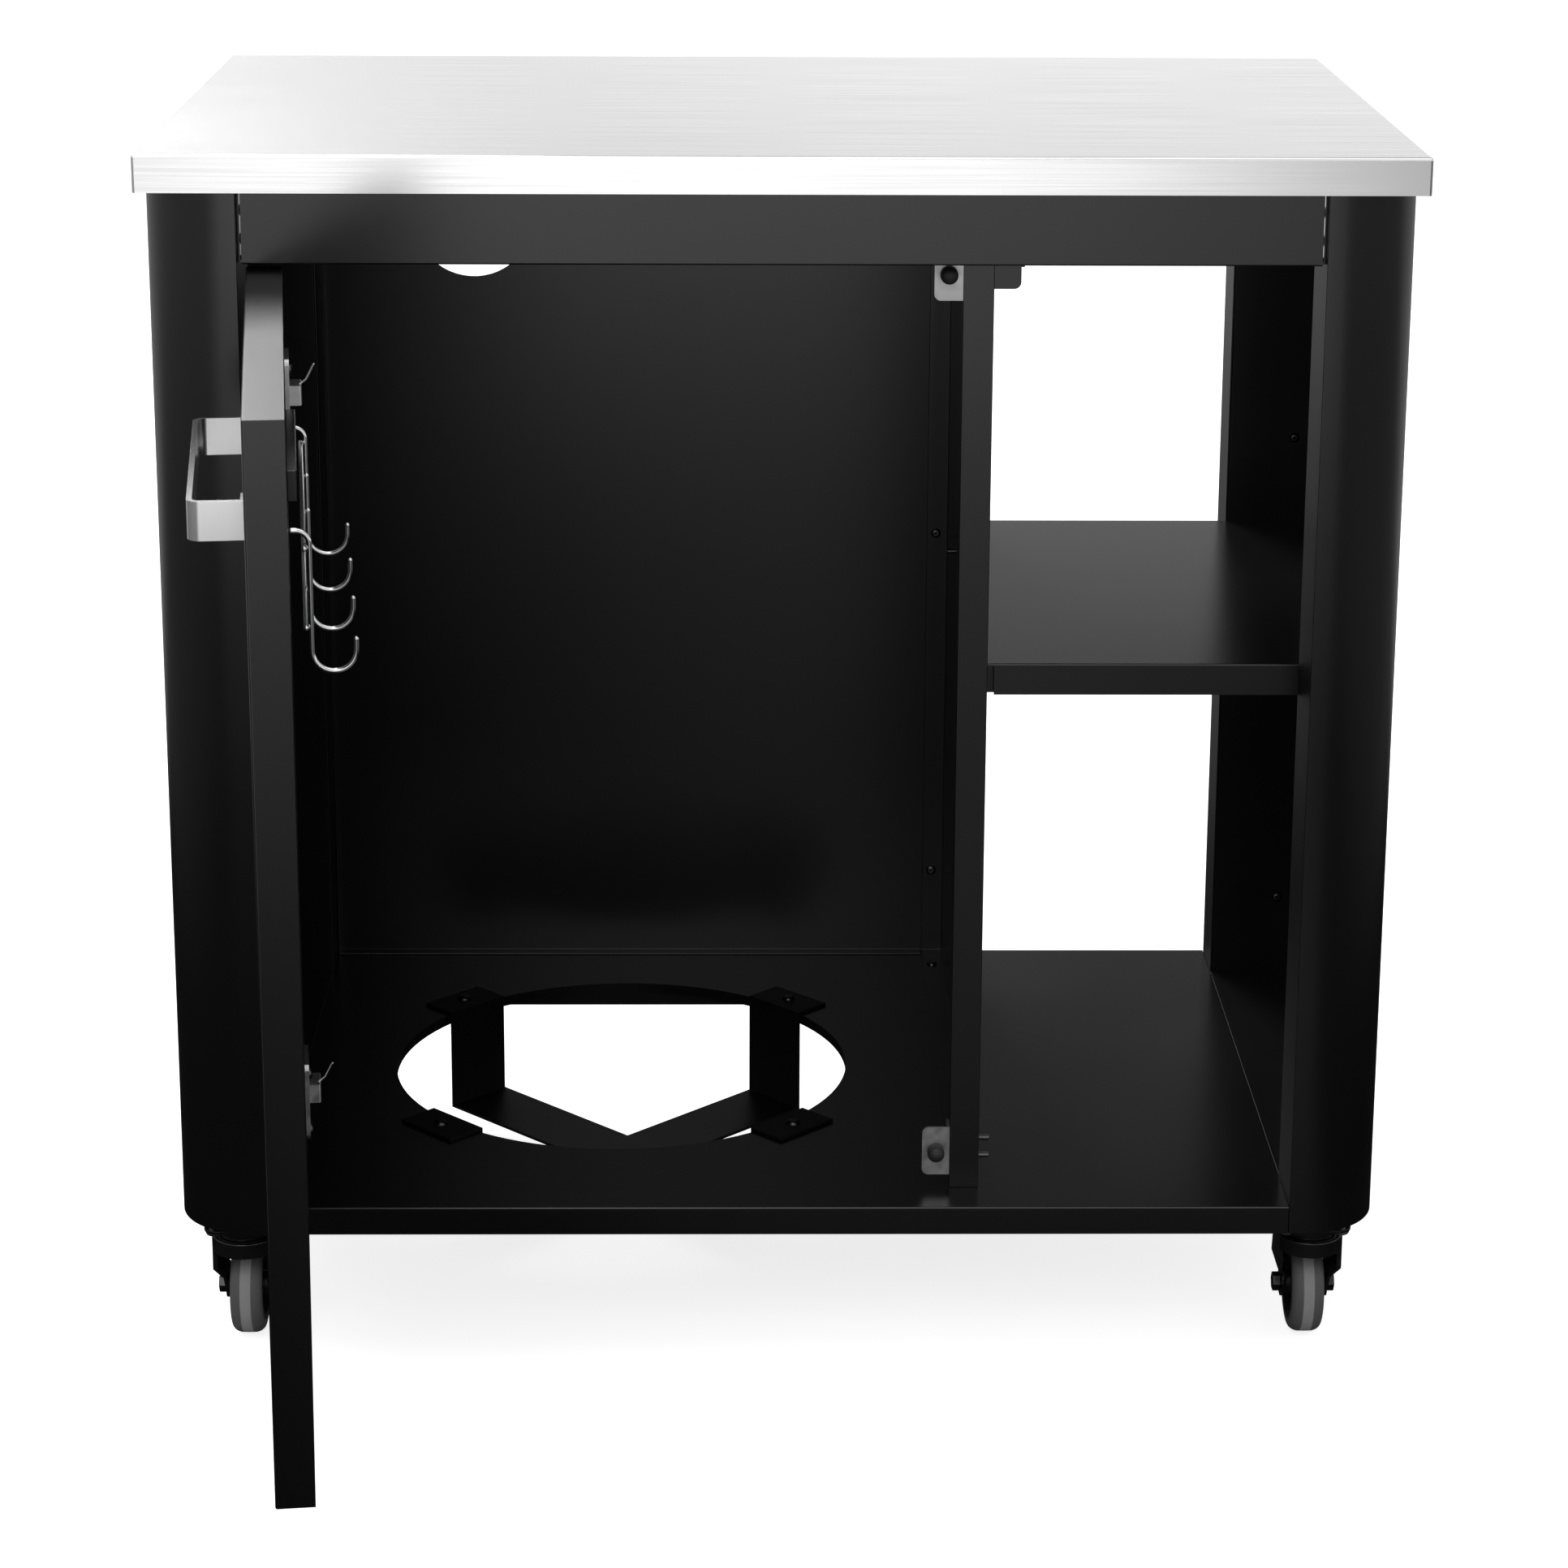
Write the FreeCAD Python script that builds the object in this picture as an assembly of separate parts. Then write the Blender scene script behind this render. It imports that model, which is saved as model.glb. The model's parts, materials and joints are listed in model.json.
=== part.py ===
import FreeCAD, Part
import math
import os

# Outdoor kitchen cabinet on castors, in millimetres.
# +X is the right-hand side seen from the front, +Y points to the back and +Z up.
# The origin is on the floor, under the middle of the worktop.

# Worktop: a folded stainless sheet
worktop_width = 900.0
worktop_depth = 563.0
worktop_height = 910.0
worktop_edge = 26.5
worktop_sheet = 1.2
worktop_hem = 25.0
worktop_bend = 2.0
worktop_overhang_side = 1.5
worktop_overhang_front = 2.5
worktop_stiffener_width = 60.0
worktop_stiffener_spacing = 190.0
stiffener_end_gap = 0.5

# Body: folded steel sheet
sheet = 1.5
bend = 1.3
post_width = 69.0
post_radius = 58.0
front_post_depth = 61.0
rear_post_depth = 53.0
post_plate_flange = 12.0
rail_height = 50.0
rail_flange = 30.0
rail_gap = 3.5
rail_end_setback = 9.0
base_lip = 21.5
base_side_gap = 0.5
base_stiffener_width = 25.0
base_stiffener_gap = 3.0

# Gas bottle cut-out and its cradle of two crossed straps
bottle_hole_radius = 182.0
bottle_hole_x = -124.5
bottle_hole_y = 14.0
bottle_rim_depth = 8.5
strap_width = 58.0
strap_thickness = 2.5
strap_hole_clearance = 1.0
strap_tab = 31.0
cradle_depth = 85.0

# Back panel of the left bay
hose_hole_radius = 50.0
hose_hole_x = -252.0
hose_hole_drop = 57.5
panel_flange = 12.0

# Divider between the bays, open towards the left
divider_x = 150.0
divider_width = 22.0
divider_flange = 19.0
divider_setback = 37.0
divider_lip = 18.0
divider_bracket_width = 19.0
divider_bracket_height = 23.0
divider_bracket_side = 27.0
divider_bracket_reach = 30.0
bracket_sheet = 2.0
bracket_corner = 5.0

# Shelf of the right bay
shelf_height = 528.5
shelf_lip = 23.5
shelf_relief = 6.5
shelf_tab = 12.0

# Door stops on the divider
bumper_bracket_width = 20.5
bumper_bracket_height = 38.0
bumper_bracket_depth = 16.0
lower_bumper_bracket_rise = 10.5
upper_bumper_bracket_drop = 31.5
bumper_radius = 6.3
bumper_stem_radius = 2.5
bumper_barb_radius = 4.2
bumper_barb_length = 2.5
bumper_gap = 0.4
bumper_bolt_spacing = 14.0

# Door, drawn closed and then turned open
door_width = 510.0
door_thickness = 25.0
door_sheet = 1.2
door_side_gap = 3.5
door_top_gap = 3.7
door_bottom_gap = 15.0
door_open_angle = 83.5
door_stiffener_width = 40.0

# Hinges: an arm on the post, a pin, and a cup set into the door
hinge_pin_inset_x = 7.5
hinge_pin_inset_y = 5.5
hinge_pin_radius = 2.0
hinge_pin_fit = 0.05
hinge_eye_radius = 3.6
hinge_arm_thickness = 4.0
hinge_arm_height = 12.0
hinge_notch_clearance = 1.5
hinge_foot_thickness = 3.0
hinge_foot_length = 28.0
hinge_foot_height = 50.0
hinge_foot_gap = 4.0
hinge_crank_length = 12.0
hinge_lug_thickness = 3.0
hinge_lug_half = 4.6
hinge_cup_radius = 17.5
hinge_cup_depth = 12.0
hinge_cup_centre = 22.0
hinge_cup_fit = 0.1
hinge_flange_thickness = 3.0
hinge_flange_height = 59.0
hinge_flange_start = 7.0
hinge_flange_end = 48.0
hinge_box_height = 14.0
hinge_box_length = 24.0
hinge_box_depth = 11.5
hinge_box_start = 6.0
upper_hinge_drop = 85.0
lower_hinge_rise = 84.0

# Door handle: flat bar bent into a bow with feet turned inwards
handle_span = 241.0
handle_projection = 36.5
handle_bar_height = 25.0
handle_bar_thickness = 3.5
handle_corner = 9.0
handle_foot = 18.0
handle_drop = 91.0

# Tool strip and hook rack inside the door
tool_strip_start = 119.0
tool_strip_length = 186.0
tool_strip_height = 20.0
tool_strip_thickness = 6.5
tool_strip_drop = 77.0
hook_count = 4
hook_start = 116.5
hook_pitch = 98.0
hook_wire_radius = 1.75
hook_offset = 12.5
hook_top_drop = 90.3
hook_height = 88.5
hook_corner = 8.0
hook_bend_radius = 13.5
hook_tip = 8.0
rack_wire_drops = (11.0, 60.5)
rack_wire_overhang = 3.5
rack_weld_depth = 0.3

# Castors
foot_plate_thickness = 3.0
foot_plate_inset = 9.0
foot_plate_length = 74.0
foot_plate_reach = 19.0
foot_plate_corner = 6.0
castor_height = 102.0
castor_plate_size = 56.0
castor_plate_thickness = 2.5
castor_plate_corner = 11.0
castor_inset_x = 47.0
castor_inset_y = 40.0
castor_bolt_spacing = 42.0
castor_race_radius = 23.0
castor_race_height = 9.5
castor_race_groove = 3.5
castor_swivel_gap = 0.3
king_pin_radius = 6.0
king_pin_fit = 0.06
king_pin_head_radius = 9.5
king_pin_head_height = 3.0
fork_crown_radius = 24.0
fork_crown_thickness = 3.7
fork_skirt_thickness = 2.5
fork_skirt_height = 8.4
fork_cheek_height = 24.0
fork_cheek_front = 7.0
fork_wheel_clearance = 2.0
fork_leg_thickness = 2.5
fork_leg_gap = 30.0
fork_eye_radius = 11.0
castor_trail = 24.0
wheel_radius = 37.5
wheel_width = 24.0
tyre_thickness = 9.5
tyre_shoulder = 6.0
hub_web_width = 10.0
hub_rim_thickness = 4.0
hub_boss_radius = 9.0
hub_side_gap = 0.5
axle_radius = 4.0
axle_fit = 0.06
axle_head_height = 6.0
axle_head_radius = 7.5

# Fasteners
screw_radius = 2.0
screw_head_radius = 4.2
screw_head_height = 2.2
screw_tail = 6.0
screw_clearance = 0.1
screw_edge = 8.0
bolt_radius = 3.0
bolt_head_radius = 5.4
bolt_head_height = 3.0
rail_screw_edge = 15.0
base_screw_edge = 18.0
divider_screw_inset = 11.4
divider_low_screw_rise = 75.5
divider_middle_screw_rise = 378.5
divider_top_screw_drop = 60.0
divider_front_screw_inset = 60.0
divider_rear_screw_inset = 40.0
post_plate_low_screw_rise = 68.0
post_plate_middle_screw_rise = 473.5
post_plate_top_screw_drop = 40.0
shelf_screw_inset = 60.0
hinge_screw_setback = 16.8

# Places worked out from the sizes
half_width = worktop_width / 2 - worktop_overhang_side
front_y = -(worktop_depth / 2 - worktop_overhang_front)
rear_y = -front_y
post_x = half_width - post_width
front_post_y = front_y + front_post_depth
rear_post_y = rear_y - rear_post_depth
body_bottom = castor_height + foot_plate_thickness
base_top = body_bottom + base_lip
body_top = worktop_height - worktop_edge
rail_bottom = body_top - rail_height
base_half = post_x - base_side_gap
divider_front = front_y + divider_setback
divider_left = divider_x - divider_width
door_left = -post_x + door_side_gap
door_back = front_y + door_thickness
door_bottom = base_top + door_bottom_gap
door_top = rail_bottom - door_top_gap
pin_x = door_left + hinge_pin_inset_x
pin_y = front_y + hinge_pin_inset_y
upper_hinge_z = door_top - upper_hinge_drop
lower_hinge_z = door_bottom + lower_hinge_rise
hinge_heights = (upper_hinge_z, lower_hinge_z)
handle_z = door_top - handle_drop
castor_x = half_width - castor_inset_x
castor_y = rear_y - castor_inset_y

X_DIR = FreeCAD.Vector(1, 0, 0)
Y_DIR = FreeCAD.Vector(0, 1, 0)
Z_DIR = FreeCAD.Vector(0, 0, 1)
ORIGIN = FreeCAD.Vector(0, 0, 0)


def point(x, y, z):
    return FreeCAD.Vector(x, y, z)


def block(x0, x1, y0, y1, z0, z1):
    """Box between two corners."""
    return Part.makeBox(x1 - x0, y1 - y0, z1 - z0, point(x0, y0, z0))


def rod(start, direction, radius, length):
    """Round bar from a start point along a direction."""
    return Part.makeCylinder(radius, length, start, direction)


def joined(shapes):
    """One solid from touching shapes."""
    return shapes[0].fuse(shapes[1:]).removeSplitter()


def turned_profile(points, start, direction):
    """Solid of revolution from (radius, height) points, standing at start along direction."""
    outline = Part.makePolygon([point(r, 0, h) for r, h in points + points[:1]])
    solid = Part.Face(outline).revolve(ORIGIN, Z_DIR, 360)
    solid.Placement = FreeCAD.Placement(start, FreeCAD.Rotation(Z_DIR, direction))
    return solid


def prism(points, direction):
    """Flat outline of straight edges, pushed along a direction."""
    return Part.Face(Part.makePolygon(points + points[:1])).extrude(direction)


def mirrored_x(shape):
    return shape.mirror(ORIGIN, X_DIR)


def mirrored_y(shape):
    return shape.mirror(ORIGIN, Y_DIR)


def both_sides(shape):
    """A piece of the right-hand side with its mirror image on the left."""
    return Part.makeCompound([shape, mirrored_x(shape)])


def rounded_edges(shape, radius, wanted):
    """Rounds the edges whose middle point passes the test."""
    edges = [e for e in shape.Edges if wanted(e.CenterOfMass)]
    return shape.makeFillet(radius, edges)


def near(a, b):
    return abs(a - b) < 0.01


def screw(head_seat, direction, radius, head_radius, head_height, length):
    """Pan-head screw whose head stands on head_seat and whose shank runs along direction."""
    head = rod(head_seat, direction * -1, head_radius, head_height)
    head = head.makeChamfer(head_height * 0.35, [head.Edges[0]])
    shank = rod(head_seat, direction, radius, length)
    socket = rod(head_seat - direction * head_height, direction, radius * 0.8, head_height * 0.5)
    return joined([head, shank]).cut(socket)


def small_screw(head_seat, direction, grip):
    """Screw that passes a grip of sheet and ends a tail beyond it."""
    return screw(head_seat, direction, screw_radius, screw_head_radius, screw_head_height, grip + screw_tail)


def drilled(shape, seats, direction, radius, depth):
    """Shape with clearance holes of the given depth below each screw seat."""
    holes = [rod(seat - direction, direction, radius + screw_clearance, depth + 1) for seat in seats]
    return shape.cut(holes)


def opened(shape):
    """Turns a piece of the closed door to the open rest position."""
    turned = shape.copy()
    turned.rotate(point(pin_x, pin_y, 0), Z_DIR, -door_open_angle)
    return turned


# Screw places that two or more pieces share
rail_screw_heights = (rail_bottom + rail_screw_edge, body_top - rail_screw_edge)
rail_screw_y = front_y + (rail_end_setback + rail_flange) / 2
base_screw_z = (base_top + body_bottom) / 2
base_screw_y = front_post_y - base_screw_edge
divider_screw_heights = (base_top + divider_low_screw_rise, base_top + divider_middle_screw_rise,
                         rail_bottom - divider_top_screw_drop)
divider_screw_x = divider_x - divider_screw_inset
divider_base_screw_y = (divider_front + divider_front_screw_inset, rear_y - divider_rear_screw_inset)
post_plate_screw_x = half_width - sheet - post_plate_flange
post_plate_screw_heights = (base_top + post_plate_low_screw_rise, base_top + post_plate_middle_screw_rise,
                            rail_bottom - post_plate_top_screw_drop)
shelf_screw_y = (front_post_y + shelf_screw_inset, rear_post_y - shelf_screw_inset)
shelf_screw_z = shelf_height - shelf_lip / 2
hinge_screw_y = door_back + hinge_foot_gap + hinge_screw_setback
hinge_screw_offset = hinge_foot_height / 2 - screw_edge
cup_screw_x = pin_x + (hinge_cup_centre + hinge_cup_radius + hinge_flange_end) / 2
cup_screw_offset = hinge_flange_height / 2 - screw_edge
handle_screw_offset = handle_span / 2 - handle_bar_thickness / 2 - handle_foot / 2
door_middle = door_left + door_width / 2
lower_bumper_z = base_top + lower_bumper_bracket_rise + bumper_bracket_height / 2
upper_bumper_z = rail_bottom - upper_bumper_bracket_drop + bumper_bracket_height / 2
bumper_heights = (upper_bumper_z, lower_bumper_z)
bumper_x = divider_left - bumper_bracket_width / 2
strap_leg = math.sqrt((bottle_hole_radius - strap_hole_clearance) ** 2 - (strap_width / 2) ** 2)
strap_angles = (45.0, 135.0)


def seats_x(x, y_values, z_values):
    return [point(x, y, z) for y in y_values for z in z_values]


def make_worktop():
    """Folded pan with hems turned in under its edges."""
    half_x = worktop_width / 2
    half_y = worktop_depth / 2
    outer = block(-half_x, half_x, -half_y, half_y, body_top, worktop_height)
    outer = rounded_edges(outer, worktop_bend, lambda c: c.z > body_top + 1)
    hollow = block(-half_x + worktop_sheet, half_x - worktop_sheet, -half_y + worktop_sheet,
                   half_y - worktop_sheet, body_top + worktop_sheet, worktop_height - worktop_sheet)
    mouth = block(-half_x + worktop_hem, half_x - worktop_hem, -half_y + worktop_hem,
                  half_y - worktop_hem, body_top - 1, worktop_height - worktop_edge / 2)
    return outer.cut([hollow, mouth])


def make_worktop_stiffeners():
    """Channels inside the worktop, standing on the side hems."""
    end = worktop_width / 2 - worktop_sheet - worktop_bend - stiffener_end_gap
    half = worktop_stiffener_width / 2
    low = body_top + worktop_sheet
    high = worktop_height - worktop_sheet
    channels = []
    for y in (-worktop_stiffener_spacing / 2, worktop_stiffener_spacing / 2):
        outer = block(-end, end, y - half, y + half, low, high)
        inner = block(-end - 1, end + 1, y - half + worktop_sheet, y + half - worktop_sheet,
                      low - 1, high - worktop_sheet)
        channels.append(outer.cut(inner))
    return Part.makeCompound(channels)


def make_top_rail():
    """Front channel between the posts, with end plates set back behind a narrow gap."""
    rail_half = post_x - rail_gap
    back = front_y + rail_flange
    setback = front_y + rail_end_setback
    web = block(-rail_half, rail_half, front_y, front_y + sheet, rail_bottom, body_top)
    flanges = []
    for low in (rail_bottom, body_top - sheet):
        flanges.append(block(-rail_half, rail_half, front_y, back, low, low + sheet))
        flanges.append(block(-post_x, post_x, setback, back, low, low + sheet))
    ends = []
    for side in (-1, 1):
        x = side * (post_x - sheet / 2)
        ends.append(block(x - sheet / 2, x + sheet / 2, setback, back, rail_bottom, body_top))
    rail = joined([web] + flanges + ends)
    rail = rounded_edges(rail, bend, lambda c: near(c.y, front_y) and near(c.z, rail_bottom))
    seats = seats_x(-post_x - sheet - 1, (rail_screw_y,), rail_screw_heights)
    return drilled(rail, seats, X_DIR, screw_radius, 2 * (post_x + sheet) + 2)


def make_rail_screws():
    """Screws from inside each rail end into the post returns."""
    screws = []
    for side in (-1, 1):
        for y in (rail_screw_y, -rail_screw_y):
            for z in rail_screw_heights:
                seat = point(side * (post_x - sheet), y, z)
                screws.append(small_screw(seat, X_DIR * side, 2 * sheet))
    return screws


def shell_outline(inset):
    """Side shell's plan, inset from the outer face: two returns, two round corners and the side."""
    x_in = post_x + inset
    x_out = half_width - inset
    x_arc = half_width - post_radius
    front = front_y + inset
    rear = rear_y - inset
    chord = (post_radius - inset) * math.sqrt(0.5)
    front_arc = Part.Arc(point(x_arc, front, 0),
                         point(x_arc + chord, front_y + post_radius - chord, 0),
                         point(x_out, front_y + post_radius, 0))
    rear_arc = Part.Arc(point(x_out, rear_y - post_radius, 0),
                        point(x_arc + chord, rear_y - post_radius + chord, 0),
                        point(x_arc, rear, 0))
    return [
        Part.LineSegment(point(x_in, front_post_y, 0), point(x_in, front, 0)),
        Part.LineSegment(point(x_in, front, 0), point(x_arc, front, 0)),
        front_arc,
        Part.LineSegment(point(x_out, front_y + post_radius, 0), point(x_out, rear_y - post_radius, 0)),
        rear_arc,
        Part.LineSegment(point(x_arc, rear, 0), point(x_in, rear, 0)),
        Part.LineSegment(point(x_in, rear, 0), point(x_in, rear_post_y, 0)),
    ]


def side_sheet():
    """Right side without holes: one sheet folded round both posts, with returns that face the bays."""
    outer = shell_outline(0)
    inner = shell_outline(sheet)
    caps = []
    for y in (front_post_y, rear_post_y):
        caps.append(Part.LineSegment(point(post_x, y, 0), point(post_x + sheet, y, 0)))
    edges = [segment.toShape() for segment in outer + inner + caps]
    wire = Part.Wire(Part.__sortEdges__(edges))
    shell = Part.Face(wire).extrude(point(0, 0, body_top - body_bottom))
    shell.translate(point(0, 0, body_bottom))
    return shell


def make_side_shell():
    """Right side sheet with the holes of its screws."""
    seats = seats_x(post_x, (rail_screw_y, -rail_screw_y), rail_screw_heights)
    seats += seats_x(post_x, (base_screw_y, -base_screw_y), (base_screw_z,))
    return drilled(side_sheet(), seats, X_DIR, screw_radius, sheet + 1)


def make_left_shell():
    """Left side sheet, with holes for the hinge arms too."""
    shell = mirrored_x(make_side_shell())
    for z in hinge_heights:
        depth = hinge_foot_thickness + sheet + 1
        shell = drilled(shell, hinge_screw_seats(z), X_DIR * -1, screw_radius, depth)
    return shell


def make_post_plate(y_face, inward):
    """Right post's closing plate at y_face, with a flange that runs inward along the return."""
    x0 = post_x + sheet
    x1 = half_width - sheet
    y0, y1 = sorted((y_face, y_face + inward * sheet))
    plate = block(x0, x1, y0, y1, body_bottom, body_top)
    f0, f1 = sorted((y_face, y_face + inward * post_plate_flange))
    flange = block(x0, x0 + sheet, f0, f1, body_bottom, body_top)
    plate = joined([plate, flange]).cut(side_sheet())
    seats = [point(post_plate_screw_x, y_face, z) for z in post_plate_screw_heights]
    plate = drilled(plate, seats, Y_DIR * inward, screw_radius, sheet + 1)
    low = base_screw_z - screw_head_radius - 1
    high = base_screw_z + screw_head_radius + 1
    relief = block(x0 - 1, x0 + sheet + 1, f0 - 1, f1 + 1, low, high)
    return plate.cut(relief)


def make_side_ledge():
    """Right strip of floor between the posts, level with the base."""
    x1 = half_width - sheet
    top = block(post_x, x1, front_post_y, rear_post_y, base_top - sheet, base_top)
    inner_lip = block(post_x, post_x + sheet, front_post_y, rear_post_y, body_bottom, base_top)
    outer_lip = block(x1 - sheet, x1, front_post_y, rear_post_y, body_bottom, base_top)
    return joined([top, inner_lip, outer_lip]).cut(side_sheet())


def strap_point(angle, along, across, z):
    """Point on a cradle strap, measured from the cut-out's centre along its diagonal."""
    a = math.radians(angle)
    x = bottle_hole_x + along * math.cos(a) - across * math.sin(a)
    y = bottle_hole_y + along * math.sin(a) + across * math.cos(a)
    return point(x, y, z)


def cradle_bolt_seats():
    reach = strap_leg + strap_tab / 2
    return [strap_point(a + turn, reach, 0, base_top + strap_thickness)
            for a in strap_angles for turn in (0, 180)]


def make_base_panel():
    """Floor pan with a lip all round and the bottle cut-out with its turned-down rim."""
    top = block(-base_half, base_half, front_y, rear_y, base_top - sheet, base_top)
    lips = [block(-base_half, base_half, front_y, front_y + sheet, body_bottom, base_top),
            block(-base_half, base_half, rear_y - sheet, rear_y, body_bottom, base_top),
            block(-base_half, -base_half + sheet, front_y, rear_y, body_bottom, base_top),
            block(base_half - sheet, base_half, front_y, rear_y, body_bottom, base_top)]
    pan = joined([top] + lips)
    pan = rounded_edges(pan, bend, lambda c: near(c.y, front_y) and near(c.z, base_top))
    rim_base = point(bottle_hole_x, bottle_hole_y, base_top - bottle_rim_depth)
    rim = rod(rim_base, Z_DIR, bottle_hole_radius + sheet, bottle_rim_depth)
    hole = rod(rim_base - Z_DIR, Z_DIR, bottle_hole_radius, bottle_rim_depth + 2)
    pan = joined([pan, rim]).cut(hole)
    pan = drilled(pan, cradle_bolt_seats(), Z_DIR * -1, bolt_radius, strap_thickness + sheet + 1)
    seats = [point(divider_screw_x, y, base_top + sheet) for y in divider_base_screw_y]
    pan = drilled(pan, seats, Z_DIR * -1, screw_radius, 2 * sheet + 1)
    side_seats = seats_x(-base_half, (base_screw_y, -base_screw_y), (base_screw_z,))
    return drilled(pan, side_seats, X_DIR, screw_radius, 2 * base_half)


def make_base_screws():
    """Screws from inside the base's side lips into the post returns."""
    screws = []
    for side in (-1, 1):
        for y in (base_screw_y, -base_screw_y):
            seat = point(side * (base_half - sheet), y, base_screw_z)
            screws.append(small_screw(seat, X_DIR * side, base_side_gap + 2 * sheet))
    return screws


def make_base_stiffener(side):
    """Channel under the base, just clear of the cut-out's rim."""
    near_edge = bottle_hole_radius + sheet + base_stiffener_gap
    edges = (bottle_hole_y + side * near_edge, bottle_hole_y + side * (near_edge + base_stiffener_width))
    y0, y1 = sorted(edges)
    x = base_half - sheet
    outer = block(-x, x, y0, y1, body_bottom, base_top - sheet)
    inner = block(-x - 1, x + 1, y0 + sheet, y1 - sheet, body_bottom + sheet, base_top)
    return outer.cut(inner)


def make_cradle_strap(angle, bottom):
    """U-shaped strap with a tab at each end that lies on the base."""
    half = strap_width / 2
    tab_top = base_top + strap_thickness
    profile = [(-strap_leg - strap_tab, tab_top), (-strap_leg + strap_thickness, tab_top),
               (-strap_leg + strap_thickness, bottom + strap_thickness),
               (strap_leg - strap_thickness, bottom + strap_thickness),
               (strap_leg - strap_thickness, tab_top), (strap_leg + strap_tab, tab_top),
               (strap_leg + strap_tab, base_top), (strap_leg, base_top), (strap_leg, bottom),
               (-strap_leg, bottom), (-strap_leg, base_top), (-strap_leg - strap_tab, base_top)]
    outline = [strap_point(angle, s, -half, z) for s, z in profile]
    across = strap_point(angle, 0, half, 0) - strap_point(angle, 0, -half, 0)
    strap = prism(outline, across)
    return drilled(strap, cradle_bolt_seats(), Z_DIR * -1, bolt_radius, strap_thickness + 1)


def make_cradle_bolts():
    bolts = []
    for seat in cradle_bolt_seats():
        grip = strap_thickness + sheet + screw_tail
        bolts.append(screw(seat, Z_DIR * -1, bolt_radius, bolt_head_radius, bolt_head_height, grip))
    return Part.makeCompound(bolts)


def make_back_panel():
    """Left bay's back sheet with flanges, and the hose hole."""
    x0 = -base_half
    x1 = divider_x
    flange_end = divider_x - divider_flange - base_side_gap
    y0 = rear_y - panel_flange
    web = block(x0, x1, rear_y - sheet, rear_y, base_top, rail_bottom)
    flanges = [block(x0, flange_end, y0, rear_y, base_top, base_top + sheet),
               block(x0, flange_end, y0, rear_y, rail_bottom - sheet, rail_bottom),
               block(x0, x0 + sheet, y0, rear_y, base_top, rail_bottom)]
    panel = joined([web] + flanges)
    hole_start = point(hose_hole_x, rear_y - panel_flange, rail_bottom - hose_hole_drop)
    panel = panel.cut(rod(hole_start, Y_DIR, hose_hole_radius, 2 * panel_flange))
    seats = [point(divider_screw_x, rear_y - 2 * sheet, z) for z in divider_screw_heights]
    return drilled(panel, seats, Y_DIR, screw_radius, 2 * sheet + 1)


def make_divider():
    """Folded pan with its web on the right and a boxed front edge."""
    x0 = divider_x - divider_flange
    back = rear_y - sheet
    web = block(divider_x - sheet, divider_x, divider_front, back, base_top, rail_bottom)
    front = block(divider_left, divider_x, divider_front, divider_front + sheet, base_top, rail_bottom)
    lip = block(divider_left, divider_left + sheet, divider_front, divider_front + divider_lip,
                base_top, rail_bottom)
    rear = block(x0, divider_x, back - sheet, back, base_top, rail_bottom)
    foot = block(x0, divider_x, divider_front, back, base_top, base_top + sheet)
    head = block(x0, divider_x, divider_front, back, rail_bottom - sheet, rail_bottom)
    divider = joined([web, front, lip, rear, foot, head])
    seats = [point(divider_screw_x, back - sheet, z) for z in divider_screw_heights]
    divider = drilled(divider, seats, Y_DIR, screw_radius, 2 * sheet)
    seats = [point(divider_screw_x, y, base_top + sheet) for y in divider_base_screw_y]
    divider = drilled(divider, seats, Z_DIR * -1, screw_radius, 2 * sheet)
    divider = drilled(divider, bumper_bolt_seats(), X_DIR, screw_radius, bracket_sheet + divider_width + 1)
    seats = seats_x(divider_x + sheet, shelf_screw_y, (shelf_screw_z,))
    return drilled(divider, seats, X_DIR * -1, screw_radius, 3 * sheet)


def bumper_bolt_seats():
    x = divider_left - bracket_sheet
    y = divider_front + bumper_bracket_depth / 2 + bracket_sheet / 2
    return [point(x, y, z + s * bumper_bolt_spacing / 2)
            for z in bumper_heights for s in (-1, 1)]


def make_divider_bracket():
    """Angle that ties the divider's top to the rail's bottom flange."""
    x0 = divider_x
    x1 = divider_x + divider_bracket_width
    y1 = divider_front + divider_bracket_side
    low = rail_bottom - divider_bracket_height
    face = block(x0, x1, divider_front, divider_front + bracket_sheet, low, rail_bottom)
    face = rounded_edges(face, bracket_corner, lambda c: near(c.x, x1) and near(c.z, low))
    side = block(x0, x0 + bracket_sheet, divider_front, y1, low, rail_bottom)
    top = block(x0, x1, divider_front - divider_bracket_reach, y1, rail_bottom - bracket_sheet, rail_bottom)
    grip = 2 * bracket_sheet + divider_width
    return drilled(joined([face, side, top]), bumper_bolt_seats(), X_DIR, screw_radius, grip + 1)


def make_bumper_bracket(z):
    """Zinc angle bolted to the divider's lip, holding one rubber bumper."""
    x0 = divider_left - bumper_bracket_width
    low = z - bumper_bracket_height / 2
    high = z + bumper_bracket_height / 2
    face = block(x0, divider_left, divider_front, divider_front + bracket_sheet, low, high)
    face = rounded_edges(face, bracket_corner, lambda c: near(c.x, x0) and not near(c.z, z))
    side = block(divider_left - bracket_sheet, divider_left, divider_front,
                 divider_front + bumper_bracket_depth, low, high)
    bracket = joined([face, side])
    hole = rod(point(bumper_x, divider_front - 1, z), Y_DIR, bumper_stem_radius, bracket_sheet + 2)
    bracket = bracket.cut(hole)
    return drilled(bracket, bumper_bolt_seats(), X_DIR, screw_radius, bracket_sheet + 1)


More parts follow.
